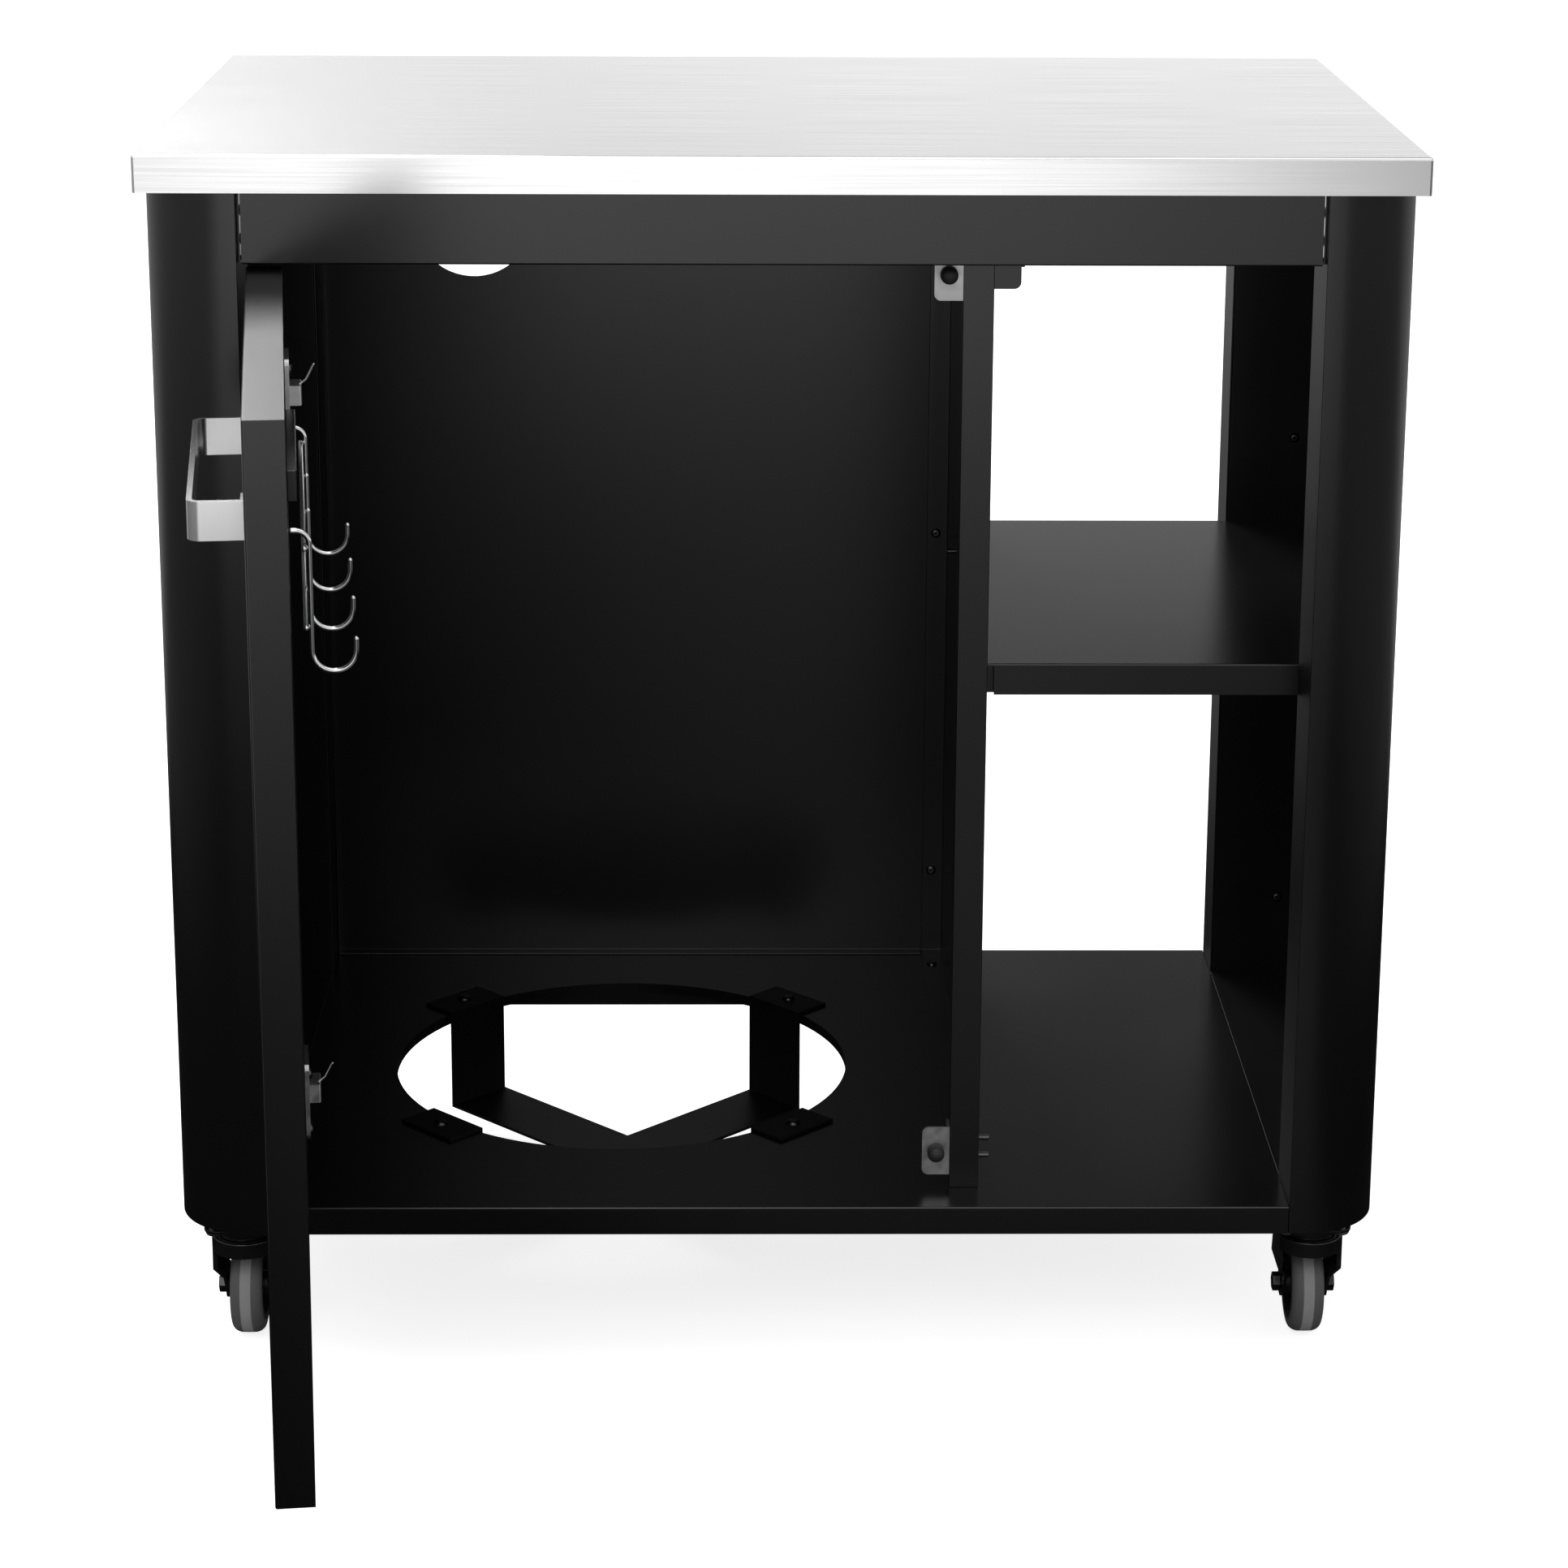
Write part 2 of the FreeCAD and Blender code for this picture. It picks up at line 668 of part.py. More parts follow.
def make_bumper(z):
    """Rubber dome that the closed door rests against, with a barbed stem through the bracket."""
    reach = divider_front - door_back - bumper_gap
    dome = reach * 0.45
    ball = bumper_radius * 0.75
    barb_end = -bracket_sheet - bumper_barb_length
    profile = [(0, barb_end), (bumper_barb_radius * 0.6, barb_end),
               (bumper_barb_radius, -bracket_sheet), (bumper_stem_radius, -bracket_sheet),
               (bumper_stem_radius, 0), (bumper_radius, 0), (bumper_radius, reach - dome),
               (ball, reach - dome * 0.25), (ball * 0.5, reach), (0, reach)]
    return turned_profile(profile, point(bumper_x, divider_front, z), Y_DIR * -1)


def make_bumper_bolts():
    grip = 2 * bracket_sheet + divider_width
    return Part.makeCompound([small_screw(seat, X_DIR, grip) for seat in bumper_bolt_seats()])


def make_shelf():
    """Shelf tray between the divider and the right side, with a tab behind each relieved corner."""
    x0 = divider_x
    x1 = half_width - sheet
    low = shelf_height - shelf_lip
    y0 = front_post_y
    y1 = rear_post_y
    top = block(x0, x1, y0, y1, shelf_height - sheet, shelf_height)
    lips = []
    for y in (y0, y1 - sheet):
        lips.append(block(x0 + shelf_relief, x1 - shelf_relief, y, y + sheet, low, shelf_height))
    for x in (x0, x1 - sheet):
        lips.append(block(x, x + sheet, y0 + shelf_relief, y1 - shelf_relief, low, shelf_height))
    for x in (x0, x1 - shelf_tab):
        for y in (y0 + shelf_relief, y1 - shelf_relief - sheet):
            lips.append(block(x, x + shelf_tab, y, y + sheet, low, shelf_height))
    shelf = joined([top] + lips).cut(side_sheet())
    shelf = rounded_edges(shelf, bend, lambda c: near(c.y, y0) and near(c.z, shelf_height))
    seats = seats_x(x0 + sheet, shelf_screw_y, (shelf_screw_z,))
    return drilled(shelf, seats, X_DIR * -1, screw_radius, sheet + 1)


def make_panel_screws():
    """Screws of the divider and the shelf's left end."""
    screws = []
    for z in divider_screw_heights:
        screws.append(small_screw(point(divider_screw_x, rear_y - 2 * sheet, z), Y_DIR, 0))
    for y in divider_base_screw_y:
        screws.append(small_screw(point(divider_screw_x, y, base_top + sheet), Z_DIR * -1, 2 * sheet))
    for y in shelf_screw_y:
        seat = point(divider_x + sheet, y, shelf_screw_z)
        screws.append(small_screw(seat, X_DIR * -1, 2 * sheet))
    return Part.makeCompound(screws)


def make_post_plate_screws():
    """Screws that hold the posts' closing plates."""
    screws = []
    for side in (-1, 1):
        for z in post_plate_screw_heights:
            front_seat = point(side * post_plate_screw_x, front_post_y, z)
            rear_seat = point(side * post_plate_screw_x, rear_post_y, z)
            screws.append(small_screw(front_seat, Y_DIR * -1, sheet))
            screws.append(small_screw(rear_seat, Y_DIR, sheet))
    return Part.makeCompound(screws)


def hinge_screw_seats(z):
    x = -post_x + hinge_foot_thickness
    return [point(x, hinge_screw_y, z + s * hinge_screw_offset) for s in (-1, 1)]


def make_hinge_arm(z):
    """Foot on the left post, a crank, and a thin arm with an eye for the pin."""
    foot_y = door_back + hinge_foot_gap
    half_height = hinge_arm_height / 2
    half_arm = hinge_arm_thickness / 2
    foot = block(-post_x, -post_x + hinge_foot_thickness, foot_y, foot_y + hinge_foot_length,
                 z - hinge_foot_height / 2, z + hinge_foot_height / 2)
    crank = block(-post_x, pin_x + half_arm, foot_y, foot_y + hinge_crank_length,
                  z - half_height, z + half_height)
    arm = block(pin_x - half_arm, pin_x + half_arm, pin_y, foot_y + hinge_crank_length,
                z - half_height, z + half_height)
    eye = rod(point(pin_x, pin_y, z - half_height), Z_DIR, hinge_eye_radius, hinge_arm_height)
    hinge = joined([foot, crank, arm, eye])
    hinge = hinge.cut(rod(point(pin_x, pin_y, z - hinge_arm_height), Z_DIR, hinge_pin_radius,
                          2 * hinge_arm_height))
    return drilled(hinge, hinge_screw_seats(z), X_DIR * -1, screw_radius, hinge_foot_thickness + 1)


def hinge_gap_half():
    """Half the height of the room that the arm has between the cup's lugs."""
    return hinge_arm_height / 2 + hinge_notch_clearance


def make_hinge_pins():
    length = 2 * (hinge_gap_half() + hinge_lug_thickness)
    pins = [rod(point(pin_x, pin_y, z - length / 2), Z_DIR, hinge_pin_radius, length) for z in hinge_heights]
    return Part.makeCompound(pins)


def make_hinge_arm_screws():
    screws = []
    for z in hinge_heights:
        for seat in hinge_screw_seats(z):
            screws.append(small_screw(seat, X_DIR * -1, hinge_foot_thickness + sheet))
    return Part.makeCompound(screws)


def hinge_notch(z):
    """Room in the door's inner left edge for one hinge arm to swing."""
    half = hinge_gap_half()
    reach = hinge_lug_half + hinge_notch_clearance
    return block(door_left - 1, pin_x + reach, front_y + door_sheet, door_back + 1, z - half, z + half)


def hinge_cup_axis_x():
    return pin_x + hinge_cup_centre


def cup_screw_seats(z):
    y = door_back + hinge_flange_thickness
    return [point(cup_screw_x, y, z + s * cup_screw_offset) for s in (-1, 1)]


def make_hinge_cup(z):
    """Cup in the door with a flange on the inside, an arm box, and two lugs round the pin."""
    x = hinge_cup_axis_x()
    half_gap = hinge_gap_half()
    cup = rod(point(x, door_back - hinge_cup_depth, z), Y_DIR, hinge_cup_radius, hinge_cup_depth)
    flange_end = pin_x + hinge_flange_end
    half_flange = hinge_flange_height / 2
    flange = block(pin_x + hinge_flange_start, flange_end, door_back, door_back + hinge_flange_thickness,
                   z - half_flange, z + half_flange)
    flange = rounded_edges(flange, bracket_corner, lambda c: near(c.x, flange_end) and not near(c.z, z)
                           and near(c.y, door_back + hinge_flange_thickness / 2))
    box_x = pin_x + hinge_box_start
    box = block(box_x, box_x + hinge_box_length, door_back, door_back + hinge_box_depth,
                z - hinge_box_height / 2, z + hinge_box_height / 2)
    box = rounded_edges(box, bend, lambda c: c.y > door_back + hinge_box_depth - 1)
    lugs = []
    for low in (z + half_gap, z - half_gap - hinge_lug_thickness):
        lugs.append(block(pin_x - hinge_lug_half, x, pin_y - hinge_eye_radius,
                          door_back - door_sheet, low, low + hinge_lug_thickness))
    body = joined([cup, flange, box] + lugs)
    pin_room = rod(point(pin_x, pin_y, z - hinge_foot_height), Z_DIR, hinge_pin_radius + hinge_pin_fit,
                   2 * hinge_foot_height)
    body = body.cut([pin_room, hinge_notch(z)])
    return opened(drilled(body, cup_screw_seats(z), Y_DIR * -1, screw_radius, hinge_flange_thickness + 1))


def make_hinge_cup_screws():
    screws = []
    for z in hinge_heights:
        for seat in cup_screw_seats(z):
            screws.append(small_screw(seat, Y_DIR * -1, hinge_flange_thickness + door_sheet))
    return opened(Part.makeCompound(screws))


def handle_screw_seats():
    y = front_y + door_sheet
    return [point(door_middle + s * handle_screw_offset, y, handle_z) for s in (-1, 1)]


def make_door_skin():
    """Door's outer pan: front face and four returned edges."""
    x0 = door_left
    x1 = door_left + door_width
    outer = block(x0, x1, front_y, door_back, door_bottom, door_top)
    outer = rounded_edges(outer, bend, lambda c: near(c.y, front_y))
    hollow = block(x0 + door_sheet, x1 - door_sheet, front_y + door_sheet, door_back + 1,
                   door_bottom + door_sheet, door_top - door_sheet)
    skin = outer.cut([hollow] + [hinge_notch(z) for z in hinge_heights])
    return opened(drilled(skin, handle_screw_seats(), Y_DIR * -1, screw_radius, door_sheet + 1))


def make_door_inner_panel():
    """Sheet that closes the door's back, cut out for the hinges."""
    x0 = door_left + door_sheet
    x1 = door_left + door_width - door_sheet
    panel = block(x0, x1, door_back - door_sheet, door_back, door_bottom + door_sheet, door_top - door_sheet)
    for z in hinge_heights:
        cup_room = rod(point(hinge_cup_axis_x(), door_back - 2 * door_sheet, z), Y_DIR,
                       hinge_cup_radius + hinge_cup_fit, 3 * door_sheet)
        panel = panel.cut([hinge_notch(z), cup_room])
        depth = hinge_flange_thickness + door_sheet + 1
        panel = drilled(panel, cup_screw_seats(z), Y_DIR * -1, screw_radius, depth)
    return opened(panel)


def make_door_stiffener():
    """Upright channel between the door's skin and its inner panel."""
    half = door_stiffener_width / 2
    y0 = front_y + door_sheet
    y1 = door_back - door_sheet
    z0 = door_bottom + door_sheet
    z1 = door_top - door_sheet
    outer = block(door_middle - half, door_middle + half, y0, y1, z0, z1)
    inner = block(door_middle - half + door_sheet, door_middle + half - door_sheet, y0 + door_sheet,
                  y1 + 1, z0 - 1, z1 + 1)
    return opened(outer.cut(inner))


def make_handle():
    """Flat bar bent into a bow, standing out from the door on two inward feet."""
    half = handle_span / 2 + handle_bar_thickness / 2
    t = handle_bar_thickness
    low = handle_z - handle_bar_height / 2
    high = handle_z + handle_bar_height / 2
    face = front_y - handle_projection
    outer = block(door_middle - half, door_middle + half, face, front_y, low, high)
    outer = rounded_edges(outer, handle_corner, lambda c: near(c.y, face) and near(c.z, handle_z))
    inner = block(door_middle - half + t, door_middle + half - t, face + t, front_y - t, low - 1, high + 1)
    inner = rounded_edges(inner, handle_corner - t, lambda c: near(c.y, face + t) and near(c.z, handle_z))
    mouth = block(door_middle - half + t + handle_foot, door_middle + half - t - handle_foot,
                  front_y - 2 * t, front_y + 1, low - 1, high + 1)
    bow = outer.cut([inner, mouth])
    return opened(drilled(bow, handle_screw_seats(), Y_DIR * -1, screw_radius, door_sheet + t + 1))


def make_handle_screws():
    """Screws from inside the door into the handle's feet."""
    grip = door_sheet + handle_bar_thickness
    screws = [screw(seat, Y_DIR * -1, screw_radius, screw_head_radius, screw_head_height, grip)
              for seat in handle_screw_seats()]
    return opened(Part.makeCompound(screws))


def make_tool_strip():
    """Flat strip on the door's inner face, above the hooks."""
    x0 = door_left + tool_strip_start
    high = door_top - tool_strip_drop
    strip = block(x0, x0 + tool_strip_length, door_back, door_back + tool_strip_thickness,
                  high - tool_strip_height, high)
    return opened(rounded_edges(strip, bend, lambda c: near(c.y, door_back + tool_strip_thickness)))


def wire_sweep(path, start, direction, radius):
    """Round wire along a path of lines and arcs."""
    section = Part.Wire([Part.makeCircle(radius, start, direction)])
    return Part.Wire(path).makePipeShell([section], True, False)


def hook_places():
    return [door_left + hook_start + i * hook_pitch for i in range(hook_count)]


def make_rack_wires():
    """Two straight wires that tie the hooks together on their door side."""
    first = hook_places()[0] - rack_wire_overhang
    last = hook_places()[-1] + rack_wire_overhang
    y = door_back + hook_offset - 2 * hook_wire_radius + rack_weld_depth
    top = door_top - hook_top_drop
    wires = []
    for drop in rack_wire_drops:
        wires.append(rod(point(first, y, top - drop), X_DIR, hook_wire_radius, last - first))
    return opened(Part.makeCompound(wires))


def make_hook(x, anchored):
    """Wire hook with a half-round bend and an upturned tip. An anchored one turns in to the door."""
    y = door_back + hook_offset
    top = door_top - hook_top_drop
    low = top - hook_height + hook_bend_radius
    r = hook_bend_radius
    c = hook_corner
    chord = c * (1 - math.sqrt(0.5))
    if anchored:
        start = point(x, door_back, top)
        direction = Y_DIR
        stem_top = point(x, y, top - c)
        head = [Part.LineSegment(start, point(x, y - c, top)).toShape(),
                Part.Arc(point(x, y - c, top), point(x, y - chord, top - chord), stem_top).toShape()]
    else:
        start = point(x, y, top - rack_wire_drops[0] + hook_wire_radius)
        direction = Z_DIR
        stem_top = start
        head = []
    path = head + [
        Part.LineSegment(stem_top, point(x, y, low)).toShape(),
        Part.Arc(point(x, y, low), point(x, y + r, low - r), point(x, y + 2 * r, low)).toShape(),
        Part.LineSegment(point(x, y + 2 * r, low), point(x, y + 2 * r, low + hook_tip)).toShape(),
    ]
    return wire_sweep(path, start, direction, hook_wire_radius)


def make_hooks():
    """The row of hooks, the outer two anchored, let into the wires behind them."""
    places = hook_places()
    hooks = [make_hook(x, x in (places[0], places[-1])) for x in places]
    wires = make_rack_wires()
    return Part.makeCompound([opened(hook).cut(wires) for hook in hooks])


def make_foot_plate():
    """Front right plate under the post and the base's corner, rounded to follow the post."""
    outer_x = half_width - foot_plate_inset
    front = front_y + foot_plate_inset
    corner = post_radius - foot_plate_inset
    plate = block(post_x - foot_plate_reach, outer_x, front, front + foot_plate_length,
                  castor_height, castor_height + foot_plate_thickness)
    plate = rounded_edges(plate, corner, lambda c: near(c.x, outer_x) and near(c.y, front))
    plate = rounded_edges(plate, foot_plate_corner, lambda c: near(c.x, post_x - foot_plate_reach)
                          and near(c.y, front))
    seats = castor_bolt_seats(castor_x, -castor_y)
    return drilled(plate, seats, Z_DIR, bolt_radius, castor_plate_thickness + foot_plate_thickness + 1)


def make_foot_plates():
    right = [make_foot_plate(), mirrored_y(make_foot_plate())]
    return Part.makeCompound(right + [mirrored_x(plate) for plate in right])


def castor_bolt_seats(x, y):
    s = castor_bolt_spacing / 2
    z = castor_height - castor_plate_thickness
    return [point(x + i * s, y + j * s, z) for i in (-1, 1) for j in (-1, 1)]


def make_castor_bolts():
    grip = castor_plate_thickness + foot_plate_thickness
    bolts = []
    for x in (-castor_x, castor_x):
        for y in (-castor_y, castor_y):
            for seat in castor_bolt_seats(x, y):
                bolts.append(screw(seat, Z_DIR, bolt_radius, bolt_head_radius, bolt_head_height, grip))
    return Part.makeCompound(bolts)


def make_castor_head():
    """Plate, grooved bearing race and riveted king pin, on the swivel axis."""
    top = castor_height
    low = top - castor_plate_thickness
    half = castor_plate_size / 2
    plate = block(-half, half, -half, half, low, top)
    plate = rounded_edges(plate, castor_plate_corner, lambda c: near(c.z, (low + top) / 2))
    r = castor_race_radius
    h = castor_race_height
    g = castor_race_groove
    rivet = h + 2 * castor_swivel_gap + fork_crown_thickness
    rivet_end = rivet + king_pin_head_height
    profile = [(0, 0), (r, 0), (r, h * 0.55), (r - g, h * 0.7), (r - g, h),
               (king_pin_radius, h), (king_pin_radius, rivet), (king_pin_head_radius, rivet),
               (king_pin_head_radius * 0.8, rivet_end), (0, rivet_end)]
    race = turned_profile(profile, point(0, 0, low), Z_DIR * -1)
    head = joined([plate, race])
    return drilled(head, castor_bolt_seats(0, 0), Z_DIR, bolt_radius, castor_plate_thickness + 1)


def at_castor(shape, side, end):
    """A castor piece moved from the origin to one corner."""
    moved = shape.copy()
    moved.translate(point(side * castor_x, end * castor_y, 0))
    return moved


def make_castor_heads():
    head = make_castor_head()
    return Part.makeCompound([at_castor(head, side, end) for side in (-1, 1) for end in (-1, 1)])


def fork_crown_top():
    return castor_height - castor_plate_thickness - castor_race_height - castor_swivel_gap


def make_castor_fork():
    """Bell-shaped crown whose cheeks run down into two legs that lean in to the axle."""
    top = fork_crown_top()
    bottom = top - fork_crown_thickness
    skirt_low = bottom - fork_skirt_height
    cheek_low = bottom - fork_cheek_height
    inner = fork_leg_gap / 2
    outer = inner + fork_leg_thickness
    cheek_inner = fork_crown_radius - fork_leg_thickness
    lean_end = wheel_radius + fork_eye_radius + fork_leg_thickness
    width = 4 * fork_crown_radius
    crown = rod(point(0, 0, bottom), Z_DIR, fork_crown_radius, fork_crown_thickness)
    crown = rounded_edges(crown, bend, lambda c: near(c.z, top))
    bell = rod(point(0, 0, cheek_low), Z_DIR, fork_crown_radius, fork_cheek_height)
    hollow = rod(point(0, 0, cheek_low), Z_DIR, fork_crown_radius - fork_skirt_thickness, fork_cheek_height)
    wheel_half = wheel_width / 2 + fork_wheel_clearance
    wheel_room = block(-wheel_half, wheel_half, -width, width, cheek_low - 1, skirt_low)
    front_room = block(-width, width, -width, -fork_cheek_front, cheek_low - 1, skirt_low)
    bell = bell.cut([hollow, wheel_room, front_room])
    depth = fork_crown_radius + castor_trail + fork_eye_radius
    side = [point(0, -fork_cheek_front, top - bend), point(0, fork_crown_radius * 0.95, top - bend),
            point(0, castor_trail + fork_eye_radius, wheel_radius),
            point(0, castor_trail - fork_eye_radius * 0.5, wheel_radius - fork_eye_radius * 0.85),
            point(0, -fork_cheek_front, cheek_low)]
    eye = rod(point(-width / 2, castor_trail, wheel_radius), X_DIR, fork_eye_radius, width)
    side_view = prism([p - X_DIR * (width / 2) for p in side], X_DIR * width).fuse(eye)
    legs = []
    for s in (-1, 1):
        front = [(outer, 0), (outer, lean_end), (fork_crown_radius, cheek_low),
                 (fork_crown_radius, top - bend), (cheek_inner, top - bend),
                 (cheek_inner, cheek_low), (inner, lean_end), (inner, 0)]
        leg = prism([point(s * x, -depth, z) for x, z in front], Y_DIR * (2 * depth))
        legs.append(leg.common(side_view))
    fork = joined([crown, bell] + legs)
    pin_room = rod(point(0, 0, 0), Z_DIR, king_pin_radius + king_pin_fit, castor_height)
    axle_room = rod(point(-width / 2, castor_trail, wheel_radius), X_DIR, axle_radius, width)
    return fork.cut([pin_room, axle_room])


def make_castor_axle():
    """Axle bolt with a hexagon head and nut outside the fork legs."""
    half = fork_leg_gap / 2 + fork_leg_thickness
    shank = rod(point(-half, castor_trail, wheel_radius), X_DIR, axle_radius, 2 * half)
    ends = []
    for s in (-1, 1):
        corners = []
        for i in range(6):
            a = math.radians(60 * i)
            corners.append(point(s * half, castor_trail + axle_head_radius * math.cos(a),
                                 wheel_radius + axle_head_radius * math.sin(a)))
        ends.append(prism(corners, X_DIR * (s * axle_head_height)))
    return joined([shank] + ends)


def wheel_profile(points):
    """Ring about the axle from (radius, across) points."""
    return turned_profile(points, point(0, castor_trail, wheel_radius), X_DIR)


def make_castor_hub():
    """Moulded hub: rim, thin web and boss, bored to turn on the axle."""
    rim_out = wheel_radius - tyre_thickness
    rim_in = rim_out - hub_rim_thickness
    w = wheel_width / 2
    web = hub_web_width / 2
    boss = fork_leg_gap / 2 - hub_side_gap
    bore = axle_radius + axle_fit
    right = [(bore, boss), (hub_boss_radius, boss), (hub_boss_radius, web),
             (rim_in, web), (rim_in, w), (rim_out, w)]
    left = [(r, -x) for r, x in reversed(right)]
    return wheel_profile(right + left)


def make_castor_tyre():
    """Tyre with a flat tread and sloped shoulders, seated on the hub's rim."""
    rim = wheel_radius - tyre_thickness
    w = wheel_width / 2
    flat = w - tyre_shoulder
    side = wheel_radius - tyre_shoulder * 0.75
    mid = (wheel_radius + side) / 2 + tyre_shoulder * 0.12
    right = [(rim, w), (side, w), (mid, (w + flat) / 2 + tyre_shoulder * 0.12), (wheel_radius, flat)]
    left = [(r, -x) for r, x in reversed(right)]
    return wheel_profile(right + left)


nodes = {
    "worktop": make_worktop(),
    "worktop_stiffeners": make_worktop_stiffeners(),
    "front_top_rail": make_top_rail(),
    "rear_top_rail": mirrored_y(make_top_rail()),
    "left_side_shell": make_left_shell(),
    "right_side_shell": make_side_shell(),
    "front_post_plates": both_sides(make_post_plate(front_post_y, -1)),
    "rear_post_plates": both_sides(make_post_plate(rear_post_y, 1)),
    "post_plate_screws": make_post_plate_screws(),
    "body_screws": Part.makeCompound(make_rail_screws() + make_base_screws()),
    "right_side_ledge": make_side_ledge(),
    "left_side_ledge": mirrored_x(make_side_ledge()),
    "base_panel": make_base_panel(),
    "base_stiffeners": Part.makeCompound([make_base_stiffener(-1), make_base_stiffener(1)]),
    "lower_cradle_strap": make_cradle_strap(strap_angles[0], base_top - cradle_depth),
    "upper_cradle_strap": make_cradle_strap(strap_angles[1], base_top - cradle_depth + strap_thickness),
    "cradle_bolts": make_cradle_bolts(),
    "back_panel": make_back_panel(),
    "divider": make_divider(),
    "divider_bracket": make_divider_bracket(),
    "shelf": make_shelf(),
    "panel_screws": make_panel_screws(),
    "bumper_brackets": Part.makeCompound([make_bumper_bracket(z) for z in bumper_heights]),
    "rubber_bumpers": Part.makeCompound([make_bumper(z) for z in bumper_heights]),
    "bumper_bolts": make_bumper_bolts(),
    "upper_hinge_arm": make_hinge_arm(upper_hinge_z),
    "lower_hinge_arm": make_hinge_arm(lower_hinge_z),
    "hinge_pins": make_hinge_pins(),
    "hinge_arm_screws": make_hinge_arm_screws(),
    "upper_hinge_cup": make_hinge_cup(upper_hinge_z),
    "lower_hinge_cup": make_hinge_cup(lower_hinge_z),
    "hinge_cup_screws": make_hinge_cup_screws(),
    "door_skin": make_door_skin(),
    "door_inner_panel": make_door_inner_panel(),
    "door_stiffener": make_door_stiffener(),
    "door_handle": make_handle(),
    "handle_screws": make_handle_screws(),
    "tool_strip": make_tool_strip(),
    "rack_wires": make_rack_wires(),
    "rack_hooks": make_hooks(),
    "foot_plates": make_foot_plates(),
    "castor_bolts": make_castor_bolts(),
    "castor_heads": make_castor_heads(),
}

castor_corners = {"front_left": (-1, -1), "front_right": (1, -1), "rear_left": (-1, 1), "rear_right": (1, 1)}
castor_makers = {"fork": make_castor_fork, "axle": make_castor_axle,
                 "hub": make_castor_hub, "tyre": make_castor_tyre}
for corner, (side, end) in castor_corners.items():
    for piece, make in castor_makers.items():
        nodes[corner + "_castor_" + piece] = at_castor(make(), side, end)

os.makedirs("parts", exist_ok=True)
for name, shape in nodes.items():
    shape.exportStep("parts/" + name + ".step")
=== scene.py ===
import json
import math

import bmesh
import bpy
from mathutils import Matrix, Vector


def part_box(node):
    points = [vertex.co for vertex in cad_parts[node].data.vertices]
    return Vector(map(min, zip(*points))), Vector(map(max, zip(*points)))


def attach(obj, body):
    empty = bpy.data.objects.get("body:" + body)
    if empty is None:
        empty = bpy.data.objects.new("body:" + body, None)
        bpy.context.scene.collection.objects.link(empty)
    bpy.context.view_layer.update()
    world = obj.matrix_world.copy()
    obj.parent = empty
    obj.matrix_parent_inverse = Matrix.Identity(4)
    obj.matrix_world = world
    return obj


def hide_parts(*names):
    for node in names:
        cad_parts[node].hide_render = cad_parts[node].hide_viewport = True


bl_info = {
    "name": "Outdoor kitchen cabinet",
    "version": (1, 0, 0),
    "blender": (4, 5, 0),
    "location": "View3D > Sidebar > Cabinet",
    "description": "Finishes the sheets, wires, wheels and fasteners of a cabinet on castors",
    "category": "Object",
}

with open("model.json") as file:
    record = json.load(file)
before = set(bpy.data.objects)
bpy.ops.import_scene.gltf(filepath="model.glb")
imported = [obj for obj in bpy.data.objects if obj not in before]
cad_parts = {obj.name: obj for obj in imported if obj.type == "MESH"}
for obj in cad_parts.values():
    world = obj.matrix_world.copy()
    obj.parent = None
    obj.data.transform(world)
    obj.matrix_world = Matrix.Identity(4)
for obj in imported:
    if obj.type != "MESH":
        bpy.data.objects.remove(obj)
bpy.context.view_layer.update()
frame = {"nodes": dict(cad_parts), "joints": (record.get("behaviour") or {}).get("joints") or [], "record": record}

MILLIMETRE = 0.001
MERGE_DISTANCE = 0.01 * MILLIMETRE
FLAT_ANGLE = math.radians(0.4)
FOLD_ANGLE = math.radians(35)
SMOOTH_ANGLE = math.radians(40)
WHITE = (1.0, 1.0, 1.0, 1.0)
BLACK = (0.0, 0.0, 0.0, 1.0)
CORNERS = ("front_left", "front_right", "rear_left", "rear_right")

# A face looks along an axis when at least this share of its normal does
FACING_SHARE = 0.9

# Screw heads: how late and how far the dome narrows, and the recess's width as a share of the radius
DOME_POWER = 2.6
DOME_NARROWING = 0.42
RECESS_WIDTH = 0.24

# Measuring a screw: the rim is what lies past this share of the radius, the tail's end is this deep
RIM_SHARE = 0.9
TAIL_DEPTH = 0.2 * MILLIMETRE

# Steps round the hooks' bends and the turned pieces
CORNER_STEPS = 8
BEND_STEPS = 24
BUMPER_STEPS = 40
TYRE_STEPS = 96

# Middle range of a noise pattern, which the finishes spread over a range of their own
PATTERN_LOW = 0.3
PATTERN_HIGH = 0.7

# Grinding lines: how they are drawn out along each axis, how far they change the roughness, their relief
WORKTOP_GRIND = ((6.0, 700.0, 700.0), 0.03, 0.015)
HANDLE_GRIND = ((8.0, 8.0, 700.0), 0.006, 0.002)

# Soft boxes: place, aim and width
FRONT_BOX = (Vector((-0.9, -3.6, 3.2)), Vector((0, 0, 0.5)), 2.6)
TOP_BOX = (Vector((0, 0, 3.6)), Vector((0, 0, 0)), 4.0)
BACK_BOX = (Vector((-1.78, 4.05, 3.58)), Vector((-0.4, -0.5, 0.83)), 2.7)

